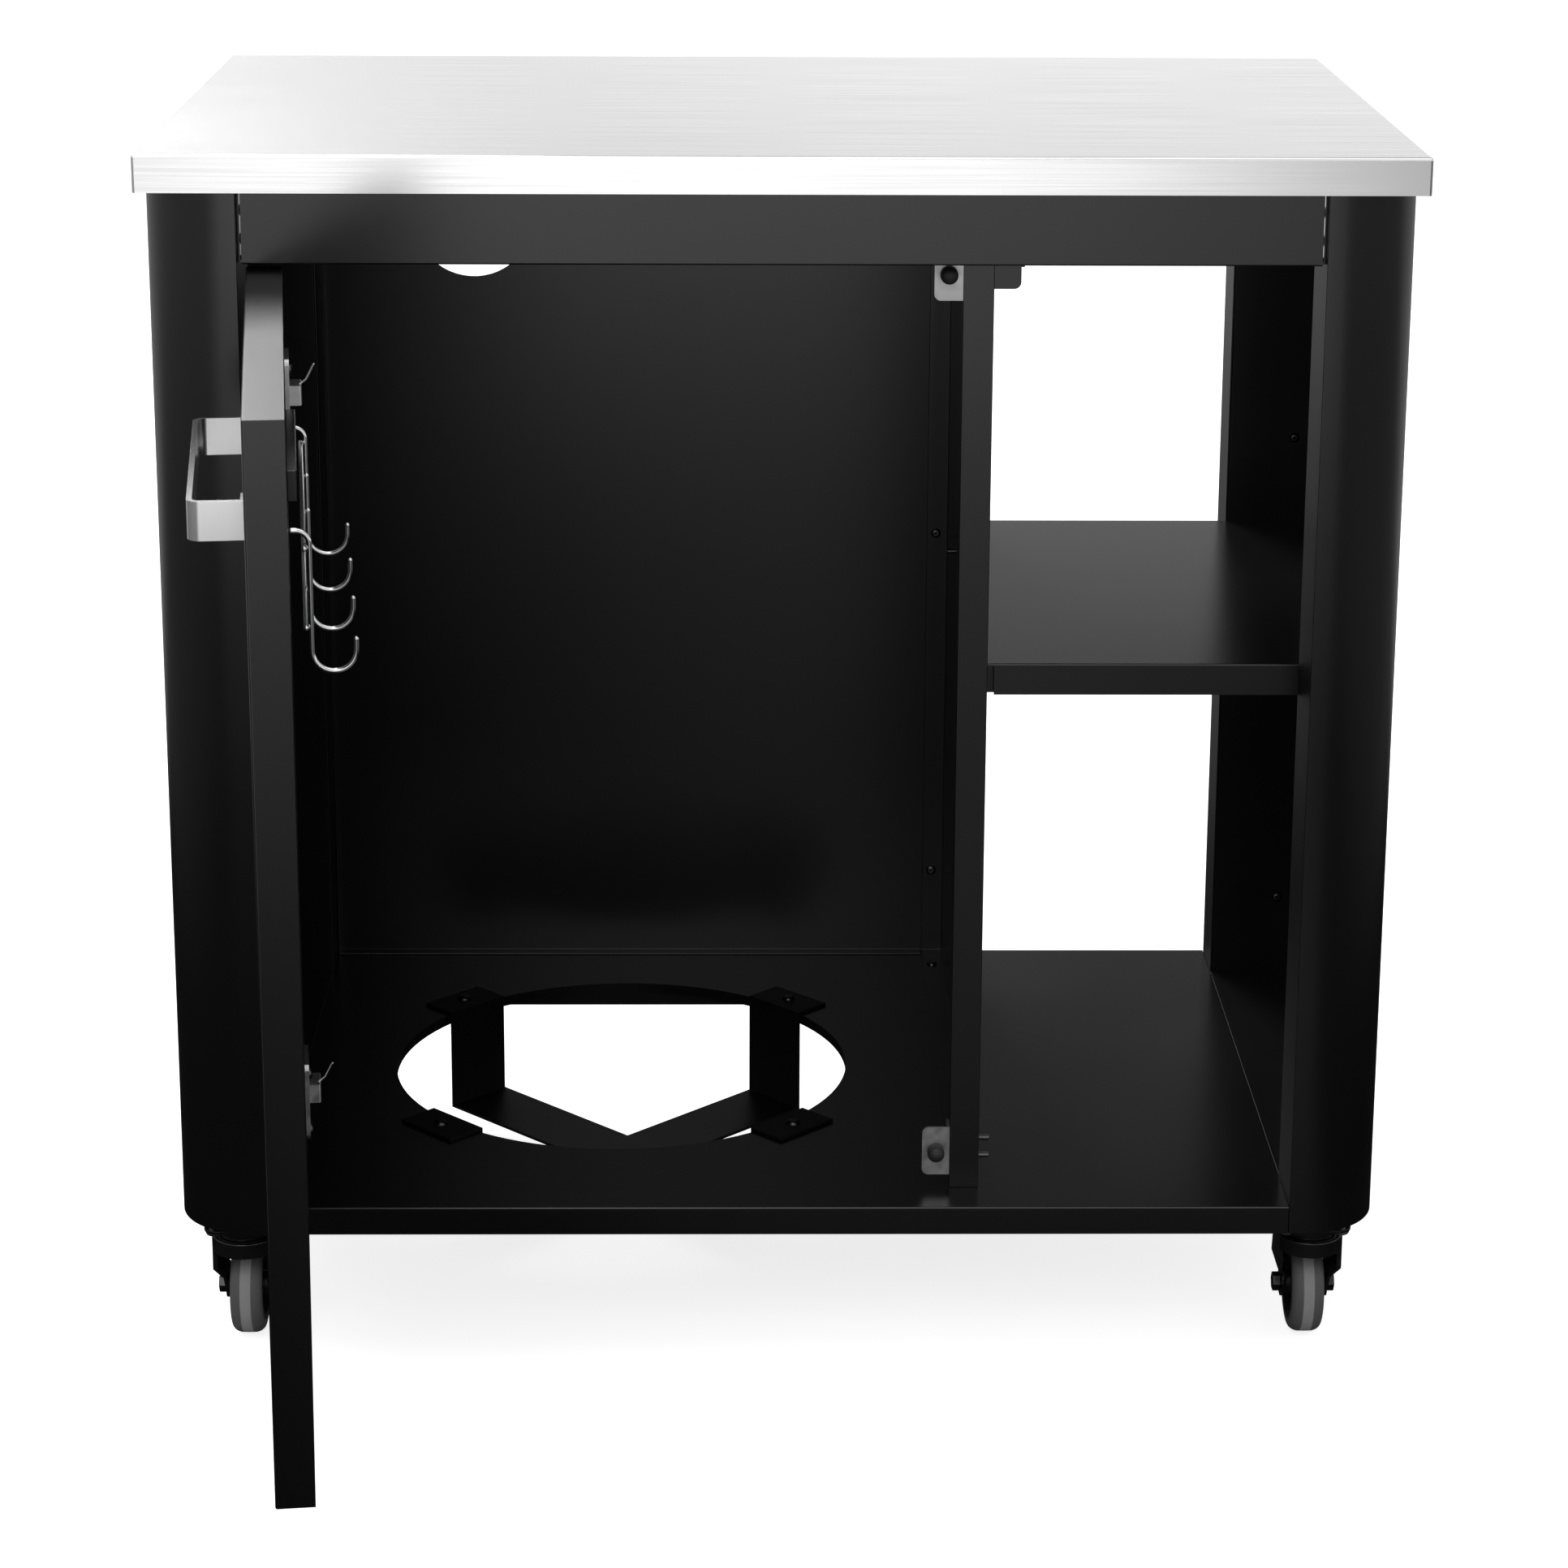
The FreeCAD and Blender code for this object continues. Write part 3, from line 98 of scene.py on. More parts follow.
# Soft steps in the white that shiny surfaces mirror: start, end and, where fixed, the values there
FLOOR_LEFT = (-2.3, -1.3, 0.25, 1.1)
FLOOR_RIGHT = (0.5, 2.0, 1.0, 0.08)
FLOOR_BEHIND = (0.7, 1.8)
FLOOR_BESIDE = (1.0, 2.2)
FLOOR_DARKEST = 0.01
STRIP_MIDDLE = 0.22
STRIP_SIDES = (0.2, 0.5, 0.2, 0.0)
STRIP_FRONT = (0.0, -1.3, 0.0, 1.0)
SKY_RISE = (math.sin(math.radians(8.5)), math.sin(math.radians(14.0)))
SKY_SIDES = (-0.16, 0.06, 0.77, 1.15)
SKY_FRONT = (0.2, 0.5)

# Where the photograph was taken from, found by fitting the cabinet's corners
PHOTO_PIXELS = 1932
CAMERA_PLACE = Vector((-0.0346, -2.9817, 1.3089))
CAMERA_PITCH = math.radians(14.9586)
CAMERA_YAW = math.radians(0.7704)
CAMERA_ROLL = math.radians(-0.2598)
CAMERA_SHIFT_PIXELS = -216.58
SENSOR_WIDTH = 36.0

body_of = {}
for body_name, members in frame["record"]["behaviour"]["bodies"].items():
    for member in members:
        body_of[member] = body_name
slot_of = {row["node"]: row["material_slot"] for row in frame["record"]["subparts"]}

# The door stands open at rest, so its pieces are measured after turning it shut
swing = next(joint for joint in frame["joints"] if joint["name"] == "door_swing")
hinge_line = Matrix.Translation(Vector(swing["pos_m"]))
swing_turn = Matrix.Rotation(math.radians(swing["range_deg"][0]), 4, "Z")
open_turn = hinge_line @ swing_turn @ hinge_line.inverted()
shut_turn = open_turn.inverted()


class CabinetSizes(bpy.types.PropertyGroup):
    """Small sizes that the finished pieces add to the solids."""

    fold_radius: bpy.props.FloatProperty(
        name="Fold radius", description="Softness of the sheets' edges",
        default=0.5 * MILLIMETRE, min=0.0, unit="LENGTH")
    hinge_radius: bpy.props.FloatProperty(
        name="Hinge radius", description="Softness of the hinges' edges",
        default=0.4 * MILLIMETRE, min=0.0, unit="LENGTH")
    castor_radius: bpy.props.FloatProperty(
        name="Castor radius", description="Softness of the forks', axles' and hubs' edges",
        default=0.7 * MILLIMETRE, min=0.0, unit="LENGTH")
    castor_head_radius: bpy.props.FloatProperty(
        name="Castor head radius", description="Softness of the castor heads' edges",
        default=0.42 * MILLIMETRE, min=0.0, unit="LENGTH")
    wire_radius: bpy.props.FloatProperty(
        name="Wire radius", description="Radius of the hook rack's wire",
        default=1.75 * MILLIMETRE, min=0.0, unit="LENGTH")
    hook_corner: bpy.props.FloatProperty(
        name="Hook corner", description="Bend where an outer hook turns in to the door",
        default=8.0 * MILLIMETRE, min=0.0, unit="LENGTH")
    lever_radius: bpy.props.FloatProperty(
        name="Lever radius", description="Radius of the hinges' release levers",
        default=0.9 * MILLIMETRE, min=0.0, unit="LENGTH")
    lever_rise: bpy.props.FloatProperty(
        name="Lever rise", description="Height of a release lever's tip above the middle of its cup",
        default=21.0 * MILLIMETRE, min=0.0, unit="LENGTH")
    lever_reach: bpy.props.FloatProperty(
        name="Lever reach", description="How far a release lever's tip stands out from its cup",
        default=8.0 * MILLIMETRE, min=0.0, unit="LENGTH")
    # The tyre's pale band is a painted highlight: a paler stripe round the tread's crown
    highlight_half_width: bpy.props.FloatProperty(
        name="Tread band", description="Half width of the tyre's pale band",
        default=4.0 * MILLIMETRE, min=0.0, unit="LENGTH")
    highlight_blend: bpy.props.FloatProperty(
        name="Tread blend", description="Half width over which the pale band fades out",
        default=0.4 * MILLIMETRE, min=0.0, unit="LENGTH")


class CabinetFinishes(bpy.types.PropertyGroup):
    """Colours and sheens of the cabinet's materials."""

    coat_colour: bpy.props.FloatVectorProperty(
        name="Powder coat", description="Black of the baked coat", subtype="COLOR",
        size=4, min=0.0, max=1.0, default=(0.0025, 0.0025, 0.0026, 1.0))
    coat_roughness: bpy.props.FloatProperty(
        name="Coat roughness", description="Roughness of the baked coat", subtype="FACTOR",
        min=0.0, max=1.0, default=0.26)
    coat_gloss: bpy.props.FloatProperty(
        name="Coat gloss", description="How much the baked coat mirrors", subtype="FACTOR",
        min=0.0, max=1.0, default=0.65)
    # The dull coat is the baked coat made duller so that it mirrors less and looks darker: painted shade on the
    # shells' inward faces, and the same darker coat on the cradle straps
    shade_coat_roughness: bpy.props.FloatProperty(
        name="Shade coat roughness", subtype="FACTOR",
        description="Roughness of the duller coat that paints shade inside the shells, also on the straps",
        min=0.0, max=1.0, default=0.5)
    shade_coat_gloss: bpy.props.FloatProperty(
        name="Shade coat gloss", description="How much the shade coat mirrors", subtype="FACTOR",
        min=0.0, max=1.0, default=0.2)
    stainless_colour: bpy.props.FloatVectorProperty(
        name="Stainless", description="Worktop", subtype="COLOR",
        size=4, min=0.0, max=1.0, default=(0.80, 0.80, 0.80, 1.0))
    stainless_roughness: bpy.props.FloatProperty(
        name="Stainless roughness", description="Satin of the worktop", subtype="FACTOR",
        min=0.0, max=1.0, default=0.20)
    handle_colour: bpy.props.FloatVectorProperty(
        name="Handle", description="Brighter stainless of the handle", subtype="COLOR",
        size=4, min=0.0, max=1.0, default=(0.92, 0.92, 0.92, 1.0))
    handle_roughness: bpy.props.FloatProperty(
        name="Handle roughness", description="Satin of the handle", subtype="FACTOR",
        min=0.0, max=1.0, default=0.20)
    zinc_colour: bpy.props.FloatVectorProperty(
        name="Zinc", description="Plated brackets and worktop stiffeners", subtype="COLOR",
        size=4, min=0.0, max=1.0, default=(0.50, 0.50, 0.51, 1.0))
    zinc_roughness: bpy.props.FloatProperty(
        name="Zinc roughness", description="Roughness of the zinc", subtype="FACTOR",
        min=0.0, max=1.0, default=0.38)
    nickel_colour: bpy.props.FloatVectorProperty(
        name="Nickel", description="Hinges and hook wire", subtype="COLOR",
        size=4, min=0.0, max=1.0, default=(0.66, 0.66, 0.67, 1.0))
    wire_roughness: bpy.props.FloatProperty(
        name="Wire roughness", description="Roughness of the bright hook wire", subtype="FACTOR",
        min=0.0, max=1.0, default=0.16)
    hinge_roughness: bpy.props.FloatProperty(
        name="Hinge roughness", description="Roughness of the satin hinges", subtype="FACTOR",
        min=0.0, max=1.0, default=0.34)
    screw_colour: bpy.props.FloatVectorProperty(
        name="Dark screws", description="Blackened fasteners", subtype="COLOR",
        size=4, min=0.0, max=1.0, default=(0.09, 0.09, 0.09, 1.0))
    screw_roughness: bpy.props.FloatProperty(
        name="Screw roughness", description="Roughness of the blackened fasteners", subtype="FACTOR",
        min=0.0, max=1.0, default=0.32)
    paint_colour: bpy.props.FloatVectorProperty(
        name="Gloss paint", description="Castor forks, axles and heads", subtype="COLOR",
        size=4, min=0.0, max=1.0, default=(0.006, 0.006, 0.006, 1.0))
    paint_roughness: bpy.props.FloatProperty(
        name="Paint roughness", description="Roughness of the castors' paint", subtype="FACTOR",
        min=0.0, max=1.0, default=0.18)
    hub_colour: bpy.props.FloatVectorProperty(
        name="Hub plastic", description="Moulded wheel hubs", subtype="COLOR",
        size=4, min=0.0, max=1.0, default=(0.010, 0.010, 0.010, 1.0))
    hub_roughness: bpy.props.FloatProperty(
        name="Hub roughness", description="Roughness of the wheel hubs", subtype="FACTOR",
        min=0.0, max=1.0, default=0.4)
    rubber_colour: bpy.props.FloatVectorProperty(
        name="Bumper rubber", description="Door bumpers", subtype="COLOR",
        size=4, min=0.0, max=1.0, default=(0.016, 0.016, 0.016, 1.0))
    rubber_roughness: bpy.props.FloatProperty(
        name="Rubber roughness", description="Roughness of the door bumpers", subtype="FACTOR",
        min=0.0, max=1.0, default=0.6)
    tyre_colour: bpy.props.FloatVectorProperty(
        name="Tyre", description="Tyre flanks", subtype="COLOR",
        size=4, min=0.0, max=1.0, default=(0.090, 0.090, 0.090, 1.0))
    # Colour of the painted highlight band on the tread
    highlight_colour: bpy.props.FloatVectorProperty(
        name="Tread band", description="Pale band on the tread", subtype="COLOR",
        size=4, min=0.0, max=1.0, default=(0.27, 0.27, 0.27, 1.0))
    tyre_roughness: bpy.props.FloatProperty(
        name="Tyre roughness", description="Roughness of the tyres", subtype="FACTOR",
        min=0.0, max=1.0, default=0.615)


class CabinetStage(bpy.types.PropertyGroup):
    """Floor, light and camera."""

    floor_size: bpy.props.FloatProperty(
        name="Floor size", description="Side of the pale floor", default=80.0, unit="LENGTH")
    floor_colour: bpy.props.FloatVectorProperty(
        name="Floor", description="Pale floor under the cabinet", subtype="COLOR",
        size=4, min=0.0, max=1.0, default=(0.80, 0.80, 0.80, 1.0))
    floor_glow: bpy.props.FloatProperty(
        name="Floor glow", description="White that the camera sees on the floor besides its light",
        default=0.8, min=0.0)
    sky_strength: bpy.props.FloatProperty(
        name="Sky strength", description="Soft light from all round", default=0.45, min=0.0)
    floor_mirrored: bpy.props.FloatProperty(
        name="Mirrored floor", description="White that shiny surfaces mirror from the far floor",
        default=1.54, min=0.0)
    floor_near: bpy.props.FloatProperty(
        name="Dark floor", description="Reach of the floor that shiny surfaces mirror dark",
        default=2.6, min=0.0, unit="LENGTH")
    floor_far: bpy.props.FloatProperty(
        name="White floor", description="Distance from which shiny surfaces mirror the floor white",
        default=5.6, min=0.0, unit="LENGTH")
    floor_behind: bpy.props.FloatProperty(
        name="Floor behind", description="White that shiny surfaces mirror from the floor behind the cabinet",
        default=0.35, min=0.0)
    floor_beside: bpy.props.FloatProperty(
        name="Floor beside", description="White that shiny surfaces mirror from the floor beside the cabinet",
        default=0.13, min=0.0)
    backdrop_low: bpy.props.FloatProperty(
        name="Backdrop at the horizon", description="White that shiny surfaces mirror from near the horizon",
        default=1.1, min=0.0)
    backdrop_high: bpy.props.FloatProperty(
        name="Backdrop overhead", description="White that shiny surfaces mirror from higher up",
        default=0.03, min=0.0)
    backdrop_around: bpy.props.FloatProperty(
        name="Backdrop around", description="White that shiny surfaces mirror from the front and the sides",
        default=0.8, min=0.0)
    front_power: bpy.props.FloatProperty(
        name="Front light", description="Soft box above the camera", default=36.0, min=0.0, unit="POWER")
    top_power: bpy.props.FloatProperty(
        name="Top light", description="Wide soft box overhead", default=30.0, min=0.0, unit="POWER")
    back_power: bpy.props.FloatProperty(
        name="Back light", description="Soft box high behind the cabinet",
        default=160.0, min=0.0, unit="POWER")
    lens: bpy.props.FloatProperty(
        name="Lens", description="Camera lens in millimetres", default=90.24)


def settings():
    scene = bpy.context.scene
    return scene.cabinet_sizes, scene.cabinet_finishes, scene.cabinet_stage


# Meshes

def merged_copy(node):
    """A CAD node's triangles as one closed skin."""
    skin = bmesh.new()
    skin.from_mesh(frame["nodes"][node].data)
    bmesh.ops.remove_doubles(skin, verts=skin.verts, dist=MERGE_DISTANCE)
    return skin


def as_mesh(skin, name):
    """Turns an edited skin into a mesh that is smooth except at its sharp edges."""
    mesh = bpy.data.meshes.new(name)
    skin.to_mesh(mesh)
    skin.free()
    mesh.shade_smooth()
    mesh.set_sharp_from_angle(angle=SMOOTH_ANGLE)
    return mesh


def softened(node, radius):
    """Copy of a CAD node whose sharp edges are rounded a little, as folded or pressed metal is."""
    skin = merged_copy(node)
    bmesh.ops.dissolve_limit(skin, angle_limit=FLAT_ANGLE, verts=skin.verts[:], edges=skin.edges[:])
    sharp = []
    for edge in skin.edges:
        if len(edge.link_faces) != 2:
            continue
        if edge.calc_face_angle(0.0) > FOLD_ANGLE and edge.calc_length() > 2 * radius:
            sharp.append(edge)
    bmesh.ops.bevel(skin, geom=sharp, offset=radius, offset_type="OFFSET", segments=2,
                    profile=0.5, affect="EDGES", clamp_overlap=True)
    return as_mesh(skin, node + "_finished")


def solids_of(node, turn):
    """The separate solids of a CAD node as lists of points, after a turn."""
    skin = merged_copy(node)
    seen = set()
    solids = []
    for first in skin.verts:
        if first in seen:
            continue
        seen.add(first)
        waiting = [first]
        points = []
        while waiting:
            vertex = waiting.pop()
            points.append(turn @ vertex.co)
            for edge in vertex.link_edges:
                other = edge.other_vert(vertex)
                if other not in seen:
                    seen.add(other)
                    waiting.append(other)
        solids.append(points)
    skin.free()
    return solids


def extent(points):
    """Low and high corners of a list of points."""
    low = Vector([min(p[i] for p in points) for i in range(3)])
    high = Vector([max(p[i] for p in points) for i in range(3)])
    return low, high


def turned(name, profile, centre, axis, steps):
    """Solid of revolution from a closed line of (radius, along) points about an axis."""
    skin = bmesh.new()
    rotation = Vector((0, 0, 1)).rotation_difference(axis).to_matrix()
    rings = []
    for radius, along in profile:
        count = steps if radius > MERGE_DISTANCE else 1
        ring = []
        for i in range(count):
            angle = 2 * math.pi * i / steps
            local = Vector((radius * math.cos(angle), radius * math.sin(angle), along))
            ring.append(skin.verts.new(centre + rotation @ local))
        rings.append(ring)
    for a, b in zip(rings, rings[1:] + rings[:1]):
        for i in range(steps):
            j = (i + 1) % steps
            corners = [a[i % len(a)], a[j % len(a)], b[j % len(b)], b[i % len(b)]]
            corners = list(dict.fromkeys(corners))
            if len(corners) > 2:
                skin.faces.new(corners)
    bmesh.ops.recalc_face_normals(skin, faces=skin.faces)
    return as_mesh(skin, name)


def arc(centre, radii, start, end, count):
    """Points of an elliptic arc in a profile's (radius, along) plane, angles in degrees."""
    points = []
    for i in range(count + 1):
        angle = math.radians(start + (end - start) * i / count)
        points.append((centre[0] + radii[0] * math.sin(angle), centre[1] + radii[1] * math.cos(angle)))
    return points


def finished(name, mesh, body, material, slot, *stood_for):
    """Puts a mesh in the scene as a piece that rides on a body and stands for CAD nodes."""
    piece = bpy.data.objects.new(name, mesh)
    bpy.context.scene.collection.objects.link(piece)
    mesh.materials.clear()
    mesh.materials.append(material)
    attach(piece, body)
    if stood_for:
        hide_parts(*stood_for)
    return piece


def dress(node, radius, material):
    """Shows a CAD node as its softened copy in a finish."""
    mesh = softened(node, radius)
    piece = finished(node + "_finished", mesh, body_of[node], material, slot_of[node], node)
    shading = piece.modifiers.new("even shading", "WEIGHTED_NORMAL")
    shading.keep_sharp = True
    shading.weight = 100
    return piece


def dress_all(nodes, radius):
    """Shows CAD nodes as softened copies in the finish of their own slot."""
    for node in nodes:
        dress(node, radius, material_for(slot_of[node]))


# Node trees for what repeats or follows a path

def add_node(tree, kind, inputs, **options):
    """Adds a node with its options, and links or sets its inputs."""
    node = tree.nodes.new(kind)
    for option, value in options.items():
        setattr(node, option, value)
    for label, value in inputs.items():
        if isinstance(value, bpy.types.NodeSocket):
            tree.links.new(value, node.inputs[label])
        else:
            node.inputs[label].default_value = value
    return node


def math_node(tree, operation, first, second):
    return add_node(tree, "ShaderNodeMath", {0: first, 1: second}, operation=operation).outputs["Value"]


def vector_node(tree, x, y, z):
    return add_node(tree, "ShaderNodeCombineXYZ", {"X": x, "Y": y, "Z": z}).outputs["Vector"]


def axes_of(tree, vector):
    """The X, Y and Z outputs of a vector."""
    return add_node(tree, "ShaderNodeSeparateXYZ", {"Vector": vector}).outputs


def raised_by(tree, geometry, height):
    """Geometry moved along Z."""
    node = add_node(tree, "GeometryNodeTransform", {
        "Geometry": geometry, "Translation": vector_node(tree, 0.0, 0.0, height)})
    return node.outputs["Geometry"]


def new_tree(name, inputs):
    """An empty tree with its named inputs, its start and its end."""
    tree = bpy.data.node_groups.new(name, "GeometryNodeTree")
    tree.interface.new_socket("Geometry", in_out="INPUT", socket_type="NodeSocketGeometry")
    for label, kind in inputs:
        tree.interface.new_socket(label, in_out="INPUT", socket_type=kind)
    tree.interface.new_socket("Geometry", in_out="OUTPUT", socket_type="NodeSocketGeometry")
    start = tree.nodes.new("NodeGroupInput")
    end = tree.nodes.new("NodeGroupOutput")
    return tree, start.outputs, end.inputs


def smooth_until_sharp(tree, geometry):
    """Smooth shading that stops at sharp edges."""
    faces = add_node(tree, "GeometryNodeSetShadeSmooth", {"Geometry": geometry})
    angle = add_node(tree, "GeometryNodeInputMeshEdgeAngle", {})
    gentle = add_node(tree, "FunctionNodeCompare", {
        "A": angle.outputs["Unsigned Angle"], "B": SMOOTH_ANGLE}, operation="LESS_THAN")
    edges = add_node(tree, "GeometryNodeSetShadeSmooth", {
        "Geometry": faces.outputs["Geometry"], "Shade Smooth": gentle.outputs["Result"]}, domain="EDGE")
    return edges.outputs["Geometry"]


def finish_tree(tree, geometry, material, end):
    """Makes the instances real, shades them and gives them their material."""
    real = add_node(tree, "GeometryNodeRealizeInstances", {"Geometry": geometry})
    shaded = smooth_until_sharp(tree, real.outputs["Geometry"])
    coloured = add_node(tree, "GeometryNodeSetMaterial", {"Geometry": shaded, "Material": material})
    tree.links.new(coloured.outputs["Geometry"], end["Geometry"])


def screw_tree():
    """Button-head screws with a cross recess, one on every point, along the point's axis."""
    tree, sizes, end = new_tree("Screws on their seats", [
        ("Head Radius", "NodeSocketFloat"), ("Head Height", "NodeSocketFloat"),
        ("Shank Radius", "NodeSocketFloat"), ("Shank Length", "NodeSocketFloat"),
        ("Material", "NodeSocketMaterial")])
    radius = sizes["Head Radius"]
    height = sizes["Head Height"]

    head = add_node(tree, "GeometryNodeMeshCylinder", {
        "Vertices": 24, "Side Segments": 6, "Radius": radius, "Depth": height})
    seated = raised_by(tree, head.outputs["Mesh"], math_node(tree, "MULTIPLY", height, 0.5))
    place = axes_of(tree, add_node(tree, "GeometryNodeInputPosition", {}).outputs["Position"])
    share = math_node(tree, "DIVIDE", place["Z"], height)
    narrowing = math_node(tree, "MULTIPLY", math_node(tree, "POWER", share, DOME_POWER), DOME_NARROWING)
    keep = math_node(tree, "SUBTRACT", 1.0, narrowing)
    narrowed = vector_node(tree, math_node(tree, "MULTIPLY", place["X"], keep),
                           math_node(tree, "MULTIPLY", place["Y"], keep), place["Z"])
    domed = add_node(tree, "GeometryNodeSetPosition", {"Geometry": seated, "Position": narrowed})

    width = math_node(tree, "MULTIPLY", radius, RECESS_WIDTH)
    recess = add_node(tree, "GeometryNodeMeshBoolean", {
        "Mesh 1": domed.outputs["Geometry"]}, operation="DIFFERENCE")
    for x, y in ((radius, width), (width, radius)):
        bar = add_node(tree, "GeometryNodeMeshCube", {"Size": vector_node(tree, x, y, height)})
        tree.links.new(raised_by(tree, bar.outputs["Mesh"], height), recess.inputs["Mesh 2"])

    shank = add_node(tree, "GeometryNodeMeshCylinder", {
        "Vertices": 16, "Radius": sizes["Shank Radius"], "Depth": sizes["Shank Length"]})
    half_down = math_node(tree, "MULTIPLY", sizes["Shank Length"], -0.5)
    sunk = raised_by(tree, shank.outputs["Mesh"], half_down)
    whole = add_node(tree, "GeometryNodeJoinGeometry", {"Geometry": recess.outputs["Mesh"]})
    tree.links.new(sunk, whole.inputs["Geometry"])

    axis = add_node(tree, "GeometryNodeInputNamedAttribute", {"Name": "screw_axis"}, data_type="FLOAT_VECTOR")
    turn = add_node(tree, "FunctionNodeAlignRotationToVector", {
        "Vector": axis.outputs["Attribute"]}, axis="Z")
    placed = add_node(tree, "GeometryNodeInstanceOnPoints", {
        "Points": sizes["Geometry"], "Instance": whole.outputs["Geometry"],
        "Rotation": turn.outputs["Rotation"]})
    finish_tree(tree, placed.outputs["Instances"], sizes["Material"], end)
    return tree


def wire_tree():
    """Round wire along every line of a path mesh, with rounded ends."""
    tree, sizes, end = new_tree("Wire along a path", [
        ("Wire Radius", "NodeSocketFloat"), ("Material", "NodeSocketMaterial")])
    radius = sizes["Wire Radius"]
    path = add_node(tree, "GeometryNodeMeshToCurve", {"Mesh": sizes["Geometry"]}).outputs["Curve"]
    section = add_node(tree, "GeometryNodeCurvePrimitiveCircle", {"Resolution": 16, "Radius": radius})
    tube = add_node(tree, "GeometryNodeCurveToMesh", {
        "Curve": path, "Profile Curve": section.outputs["Curve"], "Fill Caps": True})
    ends = add_node(tree, "GeometryNodeCurveEndpointSelection", {})
    ball = add_node(tree, "GeometryNodeMeshUVSphere", {"Segments": 16, "Rings": 10, "Radius": radius})
    tips = add_node(tree, "GeometryNodeInstanceOnPoints", {
        "Points": path, "Selection": ends.outputs["Selection"], "Instance": ball.outputs["Mesh"]})
    whole = add_node(tree, "GeometryNodeJoinGeometry", {"Geometry": tube.outputs["Mesh"]})
    tree.links.new(tips.outputs["Instances"], whole.inputs["Geometry"])
    finish_tree(tree, whole.outputs["Geometry"], sizes["Material"], end)
    return tree


def path_mesh(lines):
    """Open lines of points as one mesh of edges."""
    points = []
    edges = []
    for line in lines:
        edges += [(len(points) + i, len(points) + i + 1) for i in range(len(line) - 1)]
        points += line
    mesh = bpy.data.meshes.new("path")
    mesh.from_pydata(points, edges, [])
    return mesh


def grown(mesh, tree, values):
    """Runs a node tree on a mesh and returns the result as a plain mesh."""
    holder = bpy.data.objects.new("seed of " + tree.name, mesh)
    bpy.context.scene.collection.objects.link(holder)
    modifier = holder.modifiers.new("tree", "NODES")
    modifier.node_group = tree
    for item in tree.interface.items_tree:
        if item.in_out == "INPUT" and item.name in values:
            modifier[item.identifier] = values[item.name]
    bpy.context.view_layer.update()
    graph = bpy.context.evaluated_depsgraph_get()
    result = bpy.data.meshes.new_from_object(holder.evaluated_get(graph))
    holder.modifiers.remove(modifier)
    bpy.data.objects.remove(holder)
    if not result.polygons:
        raise RuntimeError(tree.name + " made no faces")
    return result


# Materials

def new_material(name):
    """A material with its tree, its shader and the coordinates of the piece that wears it."""
    material = bpy.data.materials.new(name)
    material.use_nodes = True
    tree = material.node_tree
    place = add_node(tree, "ShaderNodeTexCoord", {})
    return material, tree, tree.nodes["Principled BSDF"], place.outputs["Object"]


def stretched(tree, place, factors):
    """Coordinates drawn out by a factor along each axis."""
    return add_node(tree, "ShaderNodeMapping", {"Vector": place, "Scale": factors}).outputs["Vector"]


def noise(tree, place, scale, detail):
    node = add_node(tree, "ShaderNodeTexNoise", {"Vector": place, "Scale": scale, "Detail": detail})
    return node.outputs["Fac"]


def mixed(tree, factor, first, second, kind):
    """First where the factor is 0, second where it is 1."""
    node = add_node(tree, "ShaderNodeMix", {"Factor": factor, "A": first, "B": second}, data_type=kind)
    return node.outputs["Result"]


def tinted(colour, gain):
    """A colour made darker or lighter."""
    return (min(colour[0] * gain, 1.0), min(colour[1] * gain, 1.0), min(colour[2] * gain, 1.0), 1.0)


def mottled(tree, pattern, colour, share):
    """A colour that a pattern darkens and lightens by a share."""
    return mixed(tree, pattern, tinted(colour, 1 - share), tinted(colour, 1 + share), "RGBA")


def uneven(tree, pattern, roughness, change):
    """A roughness that a pattern lowers and raises."""
    node = add_node(tree, "ShaderNodeMapRange", {
        "Value": pattern, "From Min": PATTERN_LOW, "From Max": PATTERN_HIGH,
        "To Min": roughness - change, "To Max": roughness + change})
    return node.outputs["Result"]


def surface(tree, shader, colour, roughness):
    """Gives a shader its colour and its roughness."""
    tree.links.new(colour, shader.inputs["Base Color"])
    tree.links.new(roughness, shader.inputs["Roughness"])


def grain(tree, shader, height, strength, depth):
    """Gives a shader fine relief."""
    bump = add_node(tree, "ShaderNodeBump", {"Height": height, "Strength": strength, "Distance": depth})
    tree.links.new(bump.outputs["Normal"], shader.inputs["Normal"])


def powder_coat(name, colour, roughness, gloss):
    """Fine-grained black, baked on folded sheet."""
    material, tree, shader, place = new_material(name)
    patches = noise(tree, place, scale=5.0, detail=1.0)
    surface(tree, shader, mottled(tree, patches, colour, share=0.2),
            uneven(tree, patches, roughness, change=0.01))
    shader.inputs["Specular IOR Level"].default_value = gloss
    specks = noise(tree, place, scale=1500.0, detail=2.0)
    grain(tree, shader, specks, strength=0.06, depth=0.1 * MILLIMETRE)
    return material


def satin_stainless(name, colour, roughness, grind):
    """Satin-ground stainless with faint grinding lines."""
    material, tree, shader, place = new_material(name)
    factors, change, relief = grind
    lines = noise(tree, stretched(tree, place, factors), scale=1.0, detail=3.0)
    clouds = noise(tree, place, scale=3.5, detail=2.0)
    surface(tree, shader, mottled(tree, clouds, colour, share=0.025), uneven(tree, lines, roughness, change))
    shader.inputs["Metallic"].default_value = 1.0
    grain(tree, shader, lines, relief, depth=0.05 * MILLIMETRE)
    return material


def plated(name, colour, roughness):
    """Plated steel with a faintly cloudy surface."""
    material, tree, shader, place = new_material(name)
    clouds = noise(tree, place, scale=160.0, detail=3.0)
    surface(tree, shader, mottled(tree, clouds, colour, share=0.12),
            uneven(tree, clouds, roughness, change=0.2 * roughness))
    shader.inputs["Metallic"].default_value = 1.0
    return material


